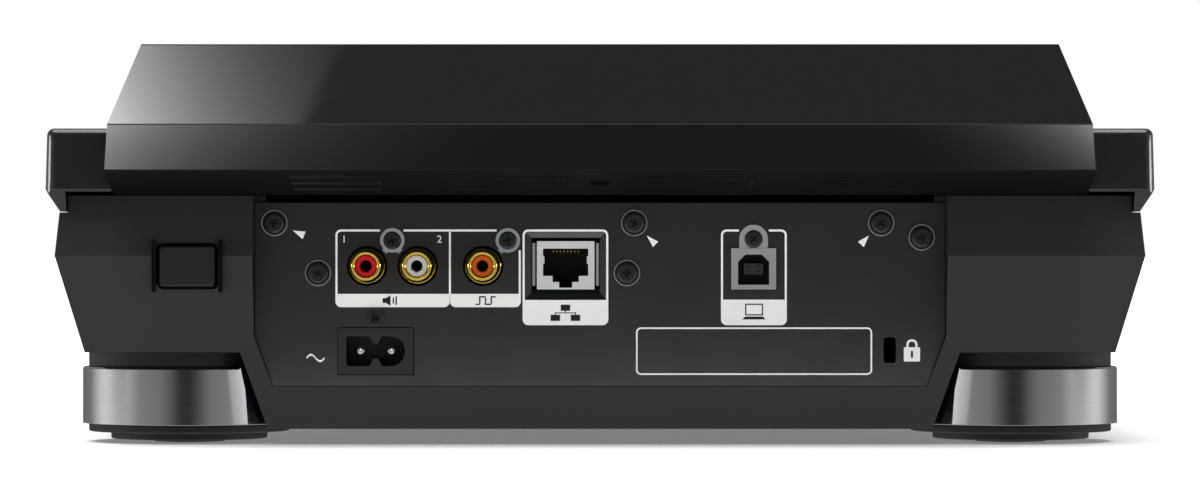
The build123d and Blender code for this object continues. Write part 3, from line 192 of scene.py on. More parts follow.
# Corners closer than the weld become one, and faces within a fraction of a degree one flat. Edges that bend
# by more than the crease stay sharp
weld = 0.002 * MM
flat_within = 0.2
crease = 40
guard_reach = 3.4 * MM
guard_face_area = 40 * MM ** 2


def select_only(piece):
    """Leave one object selected and active."""
    bpy.ops.object.select_all(action="DESELECT")
    piece.select_set(True)
    bpy.context.view_layer.objects.active = piece


def soften_edges(piece, edge, angle=14, segments=3):
    """Round edges sharper than an angle in degrees over by a width in millimetres, and keep the flats flat.
    With no width the edges stay sharp."""
    select_only(piece)
    if edge:
        bevel = piece.modifiers.new("rounded_edges", "BEVEL")
        bevel.width = edge * MM
        bevel.segments = segments
        bevel.limit_method = "ANGLE"
        bevel.angle_limit = radians(angle)
        bpy.ops.object.modifier_apply(modifier=bevel.name)
    bpy.ops.object.shade_smooth_by_angle(angle=radians(crease if edge else 2 * angle))
    flats = piece.modifiers.new("flat_faces", "WEIGHTED_NORMAL")
    flats.keep_sharp = True
    bpy.ops.object.modifier_apply(modifier=flats.name)


def place(piece, material, node, replaces=True):
    """Give a finished piece its material and slot, and let it ride in place of a node, or with it."""
    piece.data.materials.clear()
    piece.data.materials.append(material)
    if replaces:
        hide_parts(node)
    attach(piece, frame["nodes"][node]["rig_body"])
    return piece


def moulded(node, material, edge):
    """A copy of a node's shape as one closed mesh, with its edges rounded over, in the node's place."""
    piece = bpy.data.objects.new(f"{node}_shape", frame["nodes"][node].data.copy())
    bpy.context.scene.collection.objects.link(piece)
    select_only(piece)
    bpy.ops.mesh.customdata_custom_splitnormals_clear()
    bpy.ops.object.mode_set(mode="EDIT")
    bpy.ops.mesh.select_all(action="SELECT")
    bpy.ops.mesh.remove_doubles(threshold=weld)
    bpy.ops.mesh.dissolve_limited(angle_limit=radians(flat_within))
    bpy.ops.object.mode_set(mode="OBJECT")
    soften_edges(piece, edge)
    return place(piece, material, node)


def grained(name, base, pits, rough, **inputs):
    """A material with pits of a width and depth in millimetres. Its roughness drifts between two values over
    patches that are patch_share times as wide as the pits."""
    material, tree, shader = start_material(name, base, **inputs)
    where = add(tree, "ShaderNodeTexCoord").outputs["Object"]
    fine, wide = (
        add(tree, "ShaderNodeTexNoise", {"Vector": where, "Scale": 1 / (width * MM), "Detail": detail})
        for width, detail in ((pits[0], 3.0), (patch_share * pits[0], 2.0)))
    drift = add(tree, "ShaderNodeMath", {
        0: fine.outputs["Fac"], 1: wide.outputs["Fac"],
    }, operation="MULTIPLY").outputs[0]
    roughness = add(tree, "ShaderNodeMapRange", {
        "Value": drift, "From Min": 0.1, "From Max": 0.5, "To Min": rough[0], "To Max": rough[1],
    })
    bump = add(tree, "ShaderNodeBump", {
        "Height": fine.outputs["Fac"], "Strength": 0.5, "Distance": pits[1] * MM,
    })
    tree.links.new(roughness.outputs[0], shader.inputs["Roughness"])
    tree.links.new(bump.outputs["Normal"], shader.inputs["Normal"])
    return material


# ABS from a spark-eroded mould: a soft broad sheen and a grain too fine to see from a step away
moulded_abs = grained("moulded_abs_black", case_black, pits=(case_grain, 0.012), rough=(0.40, 0.56))
bottom_case = moulded("bottom_case", moulded_abs, case_edge)
# The guard ribs beside the power button, and the opening between them, are polished in the mould, with a
# narrow shine. Their colour is darker than the case's: painted shade on the ribs and in the opening
guard_polish_and_shade = grained("polished_guard_painted_shade", "0A0A0B", pits=(6.0, 0.002), rough=(0.1, 0.2))
bottom_case.data.materials.append(guard_polish_and_shade)
# Faces on and between the ribs, next to the button, take the darker colour: painted shade
button_low, button_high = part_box("power_button")
for face in bottom_case.data.polygons:
    spot = face.center
    beside = max(button_low.x - spot.x, spot.x - button_high.x) < guard_reach and spot.y > button_low.y
    level = button_low.z - guard_reach < spot.z < button_high.z + guard_reach
    face.material_index = int(beside and level and face.area < guard_face_area)

# Circuit boards and the parts inside
# Glass fibre boards with green solder mask stand on the case's posts. The switches, potentiometers and the
# fader's channel are black nylon mouldings soldered to them. None of them shows in a closed player.


def finish_node(node, material):
    """Give a node that keeps its own mesh its material."""
    mesh = frame["nodes"][node].data
    mesh.materials.clear()
    mesh.materials.append(material)


# Solder mask: a green lacquer with a satin gloss, a little uneven over the copper under it
solder_mask = grained("solder_mask_green", "1C4A2C", pits=(1.2, 0.02), rough=(0.28, 0.42))
# Nylon straight from its mould: black, with a soft waxy sheen
nylon = grained("moulded_nylon_black", "131314", pits=(0.5, 0.01), rough=(0.36, 0.5))
# Steel ground to size: bright, under a fine even haze
ground_steel = grained("ground_steel", "B4B6B8", pits=(0.3, 0.004), rough=(0.2, 0.32), Metallic=1.0)
for material, nodes in (
    (solder_mask, ("main_board", "power_board", "key_boards")),
    (nylon, ("tact_switches", "control_pots", "fader_body", "power_switch", "jog_base")),
    (ground_steel, ("jog_bearing", "browse_shaft")),
):
    for node in nodes:
        finish_node(node, material)

# Feet
# Each foot is a rubber collar against the case, a spun aluminium ring round the collar's stem, and a stepped
# rubber pad that stands on the table.
ring_grey = "A9AAAC"
ring_chamfer = 0.45
ring_foot_chamfer = 0.1
ring_edge = 0.12
stem_radius = 20.0
stem_gap = 0.05
collar_edge = 0.3
sole_radius, sole_height = 10.2, 0.9
tread_radius, tread_height = 22.1, 3.0
pad_rounding = 0.5
turning_steps = 160
# The lathe's marks on the rings: 6 mm wide, then squeezed and stretched to 0.2 mm high and 15 mm long
lathe_mark = 6.0
lathe_stretch = (0.4, 0.4, 30.0)


def solids(node):
    """The lowest and highest corner of each separate solid in a node, in metres."""
    mesh = bmesh.new()
    mesh.from_mesh(frame["nodes"][node].data)
    bmesh.ops.remove_doubles(mesh, verts=mesh.verts, dist=weld)
    left = set(mesh.verts)
    found = []
    while left:
        group = [left.pop()]
        for vert in group:
            near = {edge.other_vert(vert) for edge in vert.link_edges} & left
            left -= near
            group.extend(near)
        corners = [vert.co for vert in group]
        found.append((Vector(map(min, *corners)), Vector(map(max, *corners))))
    mesh.free()
    return sorted(found, key=lambda box: (round(box[0].x, 4), round(box[0].y, 4), round(box[0].z, 4)))


def half_width(box):
    """Half a box's width in millimetres."""
    return (box[1].x - box[0].x) / 2 / MM


def centre_of(box):
    """The middle of a box, in metres."""
    return (box[0] + box[1]) / 2


def turned(name, profile, steps=turning_steps):
    """A piece turned about the Z axis: a circle extruded through (radius, height) pairs in millimetres.
    A profile that ends where it starts gives a ring, and any other gets a flat face at each end."""
    bpy.ops.object.select_all(action="DESELECT")
    bpy.ops.mesh.primitive_circle_add(vertices=steps, radius=profile[0][0] * MM, location=(0, 0, 0))
    piece = bpy.context.object
    piece.name = name
    bpy.ops.object.mode_set(mode="EDIT")
    bpy.ops.mesh.select_all(action="SELECT")
    bpy.ops.transform.translate(value=(0, 0, profile[0][1] * MM))
    if profile[0] != profile[-1]:
        bpy.ops.mesh.edge_face_add()
    for (radius, height), (next_radius, next_height) in zip(profile, profile[1:]):
        move = (0, 0, (next_height - height) * MM)
        bpy.ops.mesh.extrude_region_move(TRANSFORM_OT_translate={"value": move})
        scale = next_radius / radius
        bpy.ops.transform.resize(value=(scale, scale, 1), center_override=(0, 0, next_height * MM))
    bpy.ops.mesh.select_all(action="SELECT")
    bpy.ops.mesh.remove_doubles(threshold=weld)
    bpy.ops.mesh.normals_make_consistent(inside=False)
    bpy.ops.object.mode_set(mode="OBJECT")
    return piece


def copy_to(piece, name, matrix):
    """A copy of a piece with its own mesh, put in place by a matrix."""
    other = bpy.data.objects.new(name, piece.data.copy())
    other.data.transform(matrix)
    bpy.context.scene.collection.objects.link(other)
    return other


def discard(*pieces):
    """Remove pattern pieces once their copies are made."""
    for piece in pieces:
        bpy.data.objects.remove(piece)


# Spun aluminium, polished and anodised grey: fine rings round it stretch each light into an upright streak
spun_aluminium, tree, shader = start_material("spun_aluminium_grey", ring_grey, Metallic=1.0)
where = add(tree, "ShaderNodeTexCoord").outputs["Object"]
flat_rings = add(tree, "ShaderNodeMapping", {"Vector": where, "Scale": lathe_stretch}).outputs[0]
lathe_marks = add(tree, "ShaderNodeTexNoise", {
    "Vector": flat_rings, "Scale": 1 / (lathe_mark * MM), "Detail": 4.0,
}).outputs["Fac"]
mark_rough = add(tree, "ShaderNodeMapRange", {
    "Value": lathe_marks, "From Min": 0.3, "From Max": 0.7, "To Min": 0.16, "To Max": 0.26,
})
mark_bump = add(tree, "ShaderNodeBump", {"Height": lathe_marks, "Strength": 0.25, "Distance": 0.004 * MM})
tree.links.new(mark_rough.outputs[0], shader.inputs["Roughness"])
tree.links.new(mark_bump.outputs["Normal"], shader.inputs["Normal"])
# Moulded rubber: matt, a little dusty, with a soft bloom
rubber = grained("moulded_rubber_black", "151516", pits=(0.6, 0.01), rough=(0.5, 0.68))

ring_box, collar_box, pad_box = (solids(node)[0] for node in ("foot_rings", "foot_collars", "foot_pads"))
ring_radius, collar_radius, pad_radius = half_width(ring_box), half_width(collar_box), half_width(pad_box)
ring_low, ring_high, collar_high = ring_box[0].z / MM, ring_box[1].z / MM, collar_box[1].z / MM
ring_bore = stem_radius + stem_gap
ring_pattern = turned("ring_pattern", [
    (ring_bore, ring_low), (ring_radius - ring_foot_chamfer, ring_low),
    (ring_radius, ring_low + ring_foot_chamfer), (ring_radius, ring_high - ring_chamfer),
    (ring_radius - ring_chamfer, ring_high), (ring_bore, ring_high), (ring_bore, ring_low),
])
soften_edges(ring_pattern, ring_edge, angle=30)
collar_pattern = turned("collar_pattern", [
    (stem_radius, ring_low), (stem_radius, ring_high),
    (collar_radius, ring_high), (collar_radius, collar_high),
])
soften_edges(collar_pattern, collar_edge, angle=30)
pad_pattern = turned("pad_pattern", [
    (sole_radius, 0.0), (sole_radius, sole_height), (tread_radius, sole_height),
    (tread_radius, tread_height), (pad_radius, tread_height), (pad_radius, ring_low),
])
soften_edges(pad_pattern, pad_rounding, angle=30)
rings = []
for number, box in enumerate(solids("foot_rings"), 1):
    spot = centre_of(box)
    where = Matrix.Translation((spot.x, spot.y, 0))
    rings.append(copy_to(ring_pattern, f"foot_ring_{number}", where))
    place(rings[-1], spun_aluminium, "foot_rings")
    place(copy_to(collar_pattern, f"foot_collar_{number}", where), rubber, "foot_collars")
    place(copy_to(pad_pattern, f"foot_pad_{number}", where), rubber, "foot_pads")
discard(ring_pattern, collar_pattern, pad_pattern)

# Rear panel
# A sheet of steel, punched for its sockets and powder coated satin black. It lies in a recess of the case,
# held by screws with washer heads.
panel_edge = 0.08
# Powder coat: a satin black whose faint orange peel breaks the sheen up
powder_coat = grained("powder_coated_steel_black", "1A1A1B", pits=(0.35, 0.012), rough=(0.44, 0.58))
rear_panel = moulded("rear_panel", powder_coat, panel_edge)
panel_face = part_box("rear_panel")[1].y

# Printed marks on the panel
# White ink, screen printed on the powder coat: frames round the sockets with filled label bands, arrow marks
# at the outer screws, a bare framed plate, and a padlock at the lock slot. Pictograms stand in the bands.
ink_thickness = 0.03
line_width = 0.58
frame_corner = 1.6
frames_top = 59.9
overrun = 1.0
# The left, right and lower edge of each frame, and the top of its label band. Places here are seen from
# behind, in millimetres right of the middle and above the table
audio = (-73.5, -22.0, 38.3, 42.0)
network = (-21.5, 2.3, 33.3, 40.3)
data = (33.6, 51.9, 33.3, 40.4)
panel_view = Matrix(((-1, 0, 0, 0), (0, 0, 1, panel_face), (0, 1, 0, 0), (0, 0, 0, 1)))
# Screen printing ink: even and flat, with a slightly chalky surface
white_ink = grained("screen_printed_ink_white", "F3F3F2", pits=(0.25, 0.004), rough=(0.42, 0.6))
black_ink = grained("screen_printed_ink_black", "1C1C1D", pits=(0.25, 0.004), rough=(0.42, 0.6))


def flat_rectangle(name, left, right, low, high, corner=0.0, line=0.0, round_top=True):
    """A flat rectangle in millimetres with rounded corners, or only its outline where a line width is
    given."""
    bpy.ops.object.select_all(action="DESELECT")
    middle = ((left + right) / 2 * MM, (low + high) / 2 * MM, 0)
    bpy.ops.mesh.primitive_plane_add(size=1, location=middle)
    piece = bpy.context.object
    piece.name = name
    piece.scale = ((right - left) * MM, (high - low) * MM, 1)
    bpy.ops.object.transform_apply(location=True, scale=True)
    bpy.ops.object.mode_set(mode="EDIT")
    if corner:
        bpy.ops.mesh.select_all(action="DESELECT")
        bpy.ops.mesh.select_mode(type="VERT")
        bpy.ops.object.mode_set(mode="OBJECT")
        for vert in piece.data.vertices:
            vert.select = round_top or vert.co.y < middle[1]
        bpy.ops.object.mode_set(mode="EDIT")
        bpy.ops.mesh.bevel(offset=corner * MM, segments=8, affect="VERTICES")
    if line:
        bpy.ops.mesh.select_all(action="SELECT")
        bpy.ops.mesh.inset(thickness=line * MM)
        bpy.ops.mesh.delete(type="FACE")
    bpy.ops.object.mode_set(mode="OBJECT")
    return piece


def flat_shape(name, points):
    """A flat face through points in millimetres: a disc whose corners are moved out to them."""
    bpy.ops.object.select_all(action="DESELECT")
    bpy.ops.mesh.primitive_circle_add(vertices=len(points), radius=MM, fill_type="NGON", location=(0, 0, 0))
    piece = bpy.context.object
    piece.name = name
    for vert, (across, up) in zip(piece.data.vertices, points):
        vert.co = (across * MM, up * MM, 0)
    bpy.ops.object.mode_set(mode="EDIT")
    bpy.ops.mesh.select_all(action="SELECT")
    bpy.ops.mesh.normals_make_consistent(inside=False)
    bpy.ops.object.mode_set(mode="OBJECT")
    if piece.data.polygons[0].normal.z < 0:
        piece.data.flip_normals()
    return piece


def gap_in(piece, left, right, low, high):
    """Cut a flat piece along a box's four sides and take out what lies inside it."""
    select_only(piece)
    bpy.ops.object.mode_set(mode="EDIT")
    for point, normal in (
        ((left, 0, 0), (1, 0, 0)), ((right, 0, 0), (1, 0, 0)),
        ((0, low, 0), (0, 1, 0)), ((0, high, 0), (0, 1, 0)),
    ):
        bpy.ops.mesh.select_all(action="SELECT")
        bpy.ops.mesh.bisect(plane_co=Vector(point) * MM, plane_no=normal)
    bpy.ops.mesh.select_mode(type="FACE")
    bpy.ops.mesh.select_all(action="DESELECT")
    bpy.ops.object.mode_set(mode="OBJECT")
    for face in piece.data.polygons:
        across, up = face.center.x / MM, face.center.y / MM
        face.select = left < across < right and low < up < high
    bpy.ops.object.mode_set(mode="EDIT")
    bpy.ops.mesh.delete(type="FACE")
    bpy.ops.object.mode_set(mode="OBJECT")


def socket_frame(name, left, right, low, band_top, screw_gaps=()):
    """The outline of a socket's frame, open where its label band comes and, from a left and right edge and a
    foot, round each screw that stands in its upper edge."""
    outline = flat_rectangle(f"{name}_frame", left, right, low, frames_top, frame_corner, line_width)
    for gap_left, gap_right, gap_low in screw_gaps:
        gap_in(outline, gap_left, gap_right, gap_low, frames_top + overrun)
    gap_in(outline, left - overrun, right + overrun, low - overrun, band_top)
    return outline


def label_band(name, left, right, low, high):
    """A filled band along the foot of a frame."""
    return flat_rectangle(f"{name}_band", left, right, low, high, frame_corner, round_top=False)


def join(pieces, name):
    """Join flat pieces into one."""
    select_only(pieces[0])
    for piece in pieces:
        piece.select_set(True)
    bpy.ops.object.join()
    pieces[0].name = name
    return pieces[0]


def print_on(piece, view, material, node, lift=0.0):
    """Thicken flat artwork to a coat of ink, lay it on its surface and let it ride with what carries it."""
    select_only(piece)
    coat = piece.modifiers.new("ink", "SOLIDIFY")
    coat.thickness = ink_thickness * MM
    coat.offset = 1
    bpy.ops.object.modifier_apply(modifier=coat.name)
    piece.data.transform(view @ Matrix.Translation((0, 0, lift * MM)))
    return place(piece, material, node, replaces=False)


def on_rear(piece):
    """Print artwork in white on the rear panel."""
    return print_on(piece, panel_view, white_ink, "rear_panel")


def on_white(piece):
    """Print artwork in black on the white ink."""
    return print_on(piece, panel_view, black_ink, "rear_panel", ink_thickness)


audio_frame = socket_frame("audio", *audio, ((-61.1, -54.6, 57.0), (-28.7, -20.0, 54.1)))
divider = flat_rectangle("divider", -41.97, -41.41, audio[3], 59.4)
audio_band = label_band("audio", audio[0], -41.75, *audio[2:])
digital_band = label_band("digital", -41.65, *audio[1:])
on_rear(join([audio_frame, divider, audio_band, digital_band], "audio_marks"))
on_rear(join([socket_frame("network", *network), label_band("network", *network)], "network_marks"))
data_frame = socket_frame("data", *data, ((38.6, 46.9, 57.0),))
on_rear(join([data_frame, label_band("data", *data)], "data_marks"))
on_rear(flat_rectangle("bare_plate_frame", 10.0, 75.6, 19.5, 32.7, corner=1.4, line=0.45))
for number, corners in enumerate((
    ((-85.3, 59.6), (-81.8, 59.3), (-82.6, 57.2)),
    ((13.0, 58.2), (16.2, 56.5), (14.7, 55.0)),
    ((74.7, 58.2), (71.6, 56.5), (73.3, 55.0)),
), 1):
    on_rear(flat_shape(f"screw_arrow_{number}", corners))

# The padlock: a filled body with a keyhole, and a shackle that ends where the body starts
lock_top = 27.2
padlock_body = flat_rectangle("padlock_body", 84.4, 88.9, 23.2, lock_top, corner=0.3)
shackle = flat_rectangle("padlock_shackle", 85.1, 88.2, 25.6, 29.4, corner=1.5, line=0.62)
gap_in(shackle, 84.0, 89.0, 24.0, lock_top)
keyhole = flat_rectangle("padlock_keyhole", 86.35, 86.95, 24.2, 26.2, corner=0.28)
on_rear(join([padlock_body, shackle], "padlock_mark"))
on_white(keyhole)

# Pictograms: a speaker, a square pulse, three linked boxes, an open laptop and a wave for the mains
speaker = flat_shape("speaker", (
    (-60.4, 39.5), (-59.5, 39.5), (-58.2, 38.7), (-58.2, 41.6), (-59.5, 40.8), (-60.4, 40.8)))
sound = flat_rectangle("sound", -57.6, -57.2, 39.3, 41.0, corner=0.15)
louder = flat_rectangle("louder", -56.8, -56.4, 38.9, 41.4, corner=0.15)
on_white(join([speaker, sound, louder], "speaker_mark"))
pulse_strokes = (
    (-34.6, -33.4, 38.9, 39.3), (-33.6, -33.2, 39.3, 41.4), (-33.2, -31.8, 41.0, 41.4),
    (-32.0, -31.6, 38.9, 41.0), (-31.6, -30.2, 38.9, 39.3), (-30.4, -30.0, 39.3, 41.4),
    (-30.0, -28.9, 41.0, 41.4),
)
link_strokes = (
    (-10.9, -8.3, 37.3, 39.0), (-13.7, -11.1, 34.5, 36.2), (-8.1, -5.5, 34.5, 36.2),
    (-9.75, -9.45, 36.6, 37.3), (-12.55, -6.65, 36.6, 36.85),
    (-12.55, -12.25, 36.2, 36.6), (-6.95, -6.65, 36.2, 36.6),
)
for name, strokes in (("pulse_mark", pulse_strokes), ("link_mark", link_strokes)):
    on_white(join([flat_rectangle("stroke", *stroke) for stroke in strokes], name))
laptop_lid = flat_rectangle("laptop_lid", 40.3, 45.3, 36.0, 39.3, corner=0.25, line=0.35)
laptop_base = flat_shape("laptop_base", ((39.6, 34.9), (46.0, 34.9), (45.3, 35.7), (40.3, 35.7)))
on_white(join([laptop_lid, laptop_base], "laptop_mark"))
wave_left, wave_length = -81.5, 5.0
wave_middle, wave_swing = 24.2, 0.9
wave_half_line = 0.28
wave_steps = 24
wave_points = []
for step in range(wave_steps + 1):
    share = step / wave_steps
    wave_points.append((wave_left + wave_length * share, wave_middle + wave_swing * sin(2 * pi * share)))
wave_top = [(across, up + wave_half_line) for across, up in wave_points]
wave_foot = [(across, up - wave_half_line) for across, up in reversed(wave_points)]
on_rear(flat_shape("mains_wave", wave_top + wave_foot))

# A digit stands seven tenths of its font's size high
digit_share = 0.7
channel_height, channel_digit = 57.1, 2.0


def flat_text(name, body, middle, height):
    """One plain number as flat artwork, its middle and height in millimetres."""
    bpy.ops.object.select_all(action="DESELECT")
    bpy.ops.object.text_add(location=(0, 0, 0))
    text = bpy.context.object
    text.data.body = body
    text.data.align_x = "CENTER"
    text.data.align_y = "CENTER"
    text.data.size = height * MM / digit_share
    bpy.ops.object.convert(target="MESH")
    piece = bpy.context.object
    piece.name = name
    piece.data.transform(Matrix.Translation((middle[0] * MM, middle[1] * MM, 0)))
    return piece


for number, across in (("1", -71.1), ("2", -44.6)):
    on_rear(flat_text(f"channel_{number}", number, (across, channel_height), channel_digit))

# Screws
# Pan head steel screws with a cross recess, black zinc plated. Six hold the panel and have a washer under
# the head, with its bright rim showing. The small ones hold the sockets' earth tabs and the inlet.
large_head_radius = 2.88
small_head_radius = 2.5
head_height = 1.7
head_flat = 0.7
crown_share = 0.28
crown_steps = 4
washer_radius = 3.7
washer_bore = 3.28
washer_height = 0.5
washer_chamfer = 0.1
recess_length = 3.0
recess_width = 0.62
recess_depth = 1.1
recess_taper = 0.55
# Each screw stops at another angle, so many degrees on from the last one
screw_turn = 17
face_rear = Matrix.Rotation(-pi / 2, 4, "X")
face_down = Matrix.Rotation(pi, 4, "X")
# Black zinc: a passivated plating, dark and slightly oily, with a tight shine
black_zinc = grained("black_zinc_steel", "252526", pits=(0.5, 0.01), rough=(0.22, 0.36))
# Clear zinc on the washers' rims: a dull grey metal
rim_zinc = grained("zinc_plated_rim", "8A8E8F", pits=(0.4, 0.01), rough=(0.36, 0.5), Metallic=1.0)


def cross_recess(piece, top):
    """Cut a cross recess, narrower at its floor, into the top of a screw head that faces up."""
    for quarter in (0, 1):
        bpy.ops.object.select_all(action="DESELECT")
        bpy.ops.mesh.primitive_cube_add(
            size=1, location=(0, 0, top * MM), rotation=(0, 0, quarter * pi / 2))
        arm = bpy.context.object
        arm.scale = (recess_length * MM, recess_width * MM, 2 * recess_depth * MM)
        bpy.ops.object.transform_apply(location=True, rotation=True, scale=True)
        for vert in arm.data.vertices:
            if vert.co.z < top * MM:
                vert.co.x *= recess_taper
                vert.co.y *= recess_taper
        select_only(piece)
        cut = piece.modifiers.new("recess", "BOOLEAN")
        cut.operation = "DIFFERENCE"
        cut.object = arm
        bpy.ops.object.modifier_apply(modifier=cut.name)
        discard(arm)


def screw_head(name, radius):
    """A pan head over the face that it bears on, its radius in millimetres, with its recess."""
    crown = [(radius, 0.0), (radius, head_flat)]
    for step in range(1, crown_steps + 1):
        angle = step / crown_steps * pi / 2
        crown_radius = radius * (1 - crown_share + crown_share * cos(angle))
        crown.append((crown_radius, head_flat + (head_height - head_flat) * sin(angle)))
    head = turned(name, crown, steps=64)
    cross_recess(head, head_height)
    soften_edges(head, 0.0, angle=20)
    return head


large_head = screw_head("large_head", large_head_radius)
small_head = screw_head("small_head", small_head_radius)
washer = turned("washer", [
    (washer_bore, 0.0), (washer_radius, 0.0), (washer_radius, washer_height - washer_chamfer),
    (washer_radius - washer_chamfer, washer_height), (washer_bore + washer_chamfer, washer_height),
    (washer_bore, washer_height - washer_chamfer), (washer_bore, 0.0),
], steps=96)
soften_edges(washer, 0.0, angle=20)
bright = []
for number, box in enumerate(solids("panel_screws"), 1):
    spot = centre_of(box)
    with_washer = half_width(box) > large_head_radius
    turn = Matrix.Rotation(radians(screw_turn * number), 4, "Z")
    where = Matrix.Translation((spot.x, box[1].y - head_height * MM, spot.z)) @ face_rear @ turn
    pattern = large_head if with_washer else small_head
    place(copy_to(pattern, f"panel_screw_{number}", where), black_zinc, "panel_screws")
    if with_washer:
        bright.append(copy_to(washer, f"screw_washer_{number}", where))
        place(bright[-1], rim_zinc, "panel_screws")
for number, box in enumerate(solids("case_screws"), 1):
    spot = centre_of(box)
    where = Matrix.Translation((spot.x, spot.y, box[0].z + head_height * MM)) @ face_down
    place(copy_to(small_head, f"case_screw_{number}", where), black_zinc, "case_screws")
discard(large_head, small_head, washer)

# Phono sockets
# A brass sleeve, turned and gold plated, over a coloured nylon insulator with a hole for the plug's pin.
# Zinc plated earth tabs hook round the screws between them.
sleeve_box = solids("rca_sleeves")[0]
sleeve_foot = sleeve_box[0].y / MM
sleeve_length = sleeve_box[1].y / MM - sleeve_foot
sleeve_radius = 4.15
bore_radius = 3.02
flange_play = 0.05
flange_radius = half_width(sleeve_box) - flange_play
flange_proud = 1.2
flange_cone = 1.0
flange_chamfer, flange_chamfer_width = 0.1, 0.12
lip_steps = 10
pin_hole = 1.6
pin_funnel = 0.3
insulator_chamfer = 0.15
tab_edge = 0.12
# Gold plate over turned brass: a warm mirror, hardly blurred
gold_plate = grained("gold_plated_brass", "D6BA50", pits=(0.6, 0.002), rough=(0.1, 0.18), Metallic=1.0)
# Zinc plate on pressed steel: a cool grey metal that blurs what it mirrors
zinc_plate = grained("zinc_plated_steel", "9B9FA1", pits=(0.5, 0.006), rough=(0.3, 0.48), Metallic=1.0)


def pointing_back(box):
    """The matrix that puts a turned piece in a box, with its foot at the front and its axis to the rear."""
    spot = centre_of(box)
    return Matrix.Translation((spot.x, box[0].y, spot.z)) @ face_rear


lip_middle = (sleeve_radius + bore_radius) / 2
lip_half = (sleeve_radius - bore_radius) / 2
lip = []
for step in range(lip_steps + 1):
    angle = step / lip_steps * pi
    lip.append((lip_middle + lip_half * cos(angle), sleeve_length - lip_half * (1 - sin(angle))))
flange_top = panel_face / MM + flange_proud - sleeve_foot
sleeve = turned("sleeve", [
    (bore_radius, 0.0), (flange_radius, 0.0), (flange_radius, flange_top - flange_cone - flange_chamfer),
    (flange_radius - flange_chamfer_width, flange_top - flange_cone), (sleeve_radius, flange_top),
    *lip, (bore_radius, 0.0),
], steps=96)
soften_edges(sleeve, 0.0, angle=20)
sleeves = []
for number, box in enumerate(solids("rca_sleeves"), 1):
    sleeves.append(copy_to(sleeve, f"phono_sleeve_{number}", pointing_back(box)))
    place(sleeves[-1], gold_plate, "rca_sleeves")
discard(sleeve)
# The block that carries them shows as a black ring in the panel's hole. Its nylon is made darker and duller
# than the rest: painted shade in the hole
matt_nylon_painted_shade = grained(
    "hole_nylon_painted_shade", "040405", pits=(0.5, 0.02), rough=(0.65, 0.85), Specular_IOR_Level=0.15)
finish_node("rca_blocks", matt_nylon_painted_shade)
# Nylon coloured through: a strong tint with little shine, deep in the sleeve
for tint, shade in (("red", "B40414"), ("white", "B9B4AD"), ("orange", "B44C00")):
    coloured = grained(
        f"moulded_nylon_{tint}", shade, pits=(0.4, 0.006), rough=(0.32, 0.46), Specular_IOR_Level=0.25)
    node = f"{tint}_insulator"
    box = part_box(node)
    outer, length = half_width(box), (box[1].y - box[0].y) / MM
    insulator = turned(f"{node}_shape", [
        (pin_hole, 0.0), (outer, 0.0), (outer, length - insulator_chamfer),
        (outer - insulator_chamfer, length), (pin_hole + pin_funnel, length),
        (pin_hole, length - pin_funnel), (pin_hole, 0.0),
    ], steps=72)
    soften_edges(insulator, 0.0, angle=20)
    insulator.data.transform(pointing_back(box))
    place(insulator, coloured, node)
bright.append(moulded("jack_tabs", zinc_plate, tab_edge))

# Network socket
# A folded shield of tinned steel round a black nylon insert, with a row of gold contact wires in its mouth
# and a spring leaf on each side that earths it to the panel.
shield_edge = 0.1
insert_edge = 0.05
leaf_gap, leaf_width = 0.35, 0.9
leaf_depths, leaf_heights = (2.4, 1.3), (44.2, 56.2)
spring_reach, spring_half = 6.35, 0.5
spring_depths, spring_heights = (1.6, 0.9), (50.3, 52.5)
strip_edge = 0.15
contact_count, contact_pitch, contact_width = 8, 1.02, 0.36
contact_depths, contact_heights = (13.0, 9.5), (53.6, 54.3)
contact_edge = 0.1
# Tinned steel: a pale metal with a satin blur
tin_plate = grained("tinned_steel", "E2E4E5", pits=(0.8, 0.006), rough=(0.3, 0.46), Metallic=1.0)
bright.append(moulded("lan_shield", tin_plate, shield_edge))
moulded("lan_insert", nylon, insert_edge)
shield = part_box("lan_shield")
lan_middle = centre_of(shield).x / MM


def bar(name, sides, depths, heights, edge):
    """A small bar with rounded edges, from where it starts and ends across, behind the panel's face and
    above the table, in millimetres."""
    low = Vector((min(sides), panel_face / MM - depths[0], heights[0])) * MM
    high = Vector((max(sides), panel_face / MM - depths[1], heights[1])) * MM
    bpy.ops.object.select_all(action="DESELECT")
    bpy.ops.mesh.primitive_cube_add(size=1, location=(low + high) / 2)
    piece = bpy.context.object
    piece.name = name
    piece.scale = high - low
    bpy.ops.object.transform_apply(location=True, scale=True)
    soften_edges(piece, edge, angle=30, segments=2)
    return piece


for side, name, wall in ((-1, "right", shield[0].x / MM), (1, "left", shield[1].x / MM)):
    leaf_sides = (wall + side * leaf_gap, wall + side * (leaf_gap + leaf_width))
    leaf = bar(f"earth_leaf_{name}", leaf_sides, leaf_depths, leaf_heights, strip_edge)
    bright.append(place(leaf, zinc_plate, "lan_shield", replaces=False))
    across = lan_middle + side * spring_reach
    spring_sides = (across - spring_half, across + spring_half)
    spring = bar(f"plug_spring_{name}", spring_sides, spring_depths, spring_heights, strip_edge)
    bright.append(place(spring, tin_plate, "lan_shield", replaces=False))
for number in range(contact_count):
    across = lan_middle + (number - (contact_count - 1) / 2) * contact_pitch
    wire_sides = (across - contact_width / 2, across + contact_width / 2)
    wire = bar(f"network_contact_{number + 1}", wire_sides, contact_depths, contact_heights, contact_edge)
    place(wire, gold_plate, "lan_insert", replaces=False)

# Square data socket
# A nickel plated steel shell whose earth tab comes up round a screw, over a dark grey nylon insert with a
# tongue. Four black nylon marks on the tongue are painted shade, where its contacts lie in their slots.
shell_edge = 0.12
tongue_edge = 0.05
slot_shade_reach, slot_shade_rise = 1.3, 0.65
slot_shade_half_width, slot_shade_half_height = 0.6, 0.3
slot_shade_depths = (1.4, 0.75)
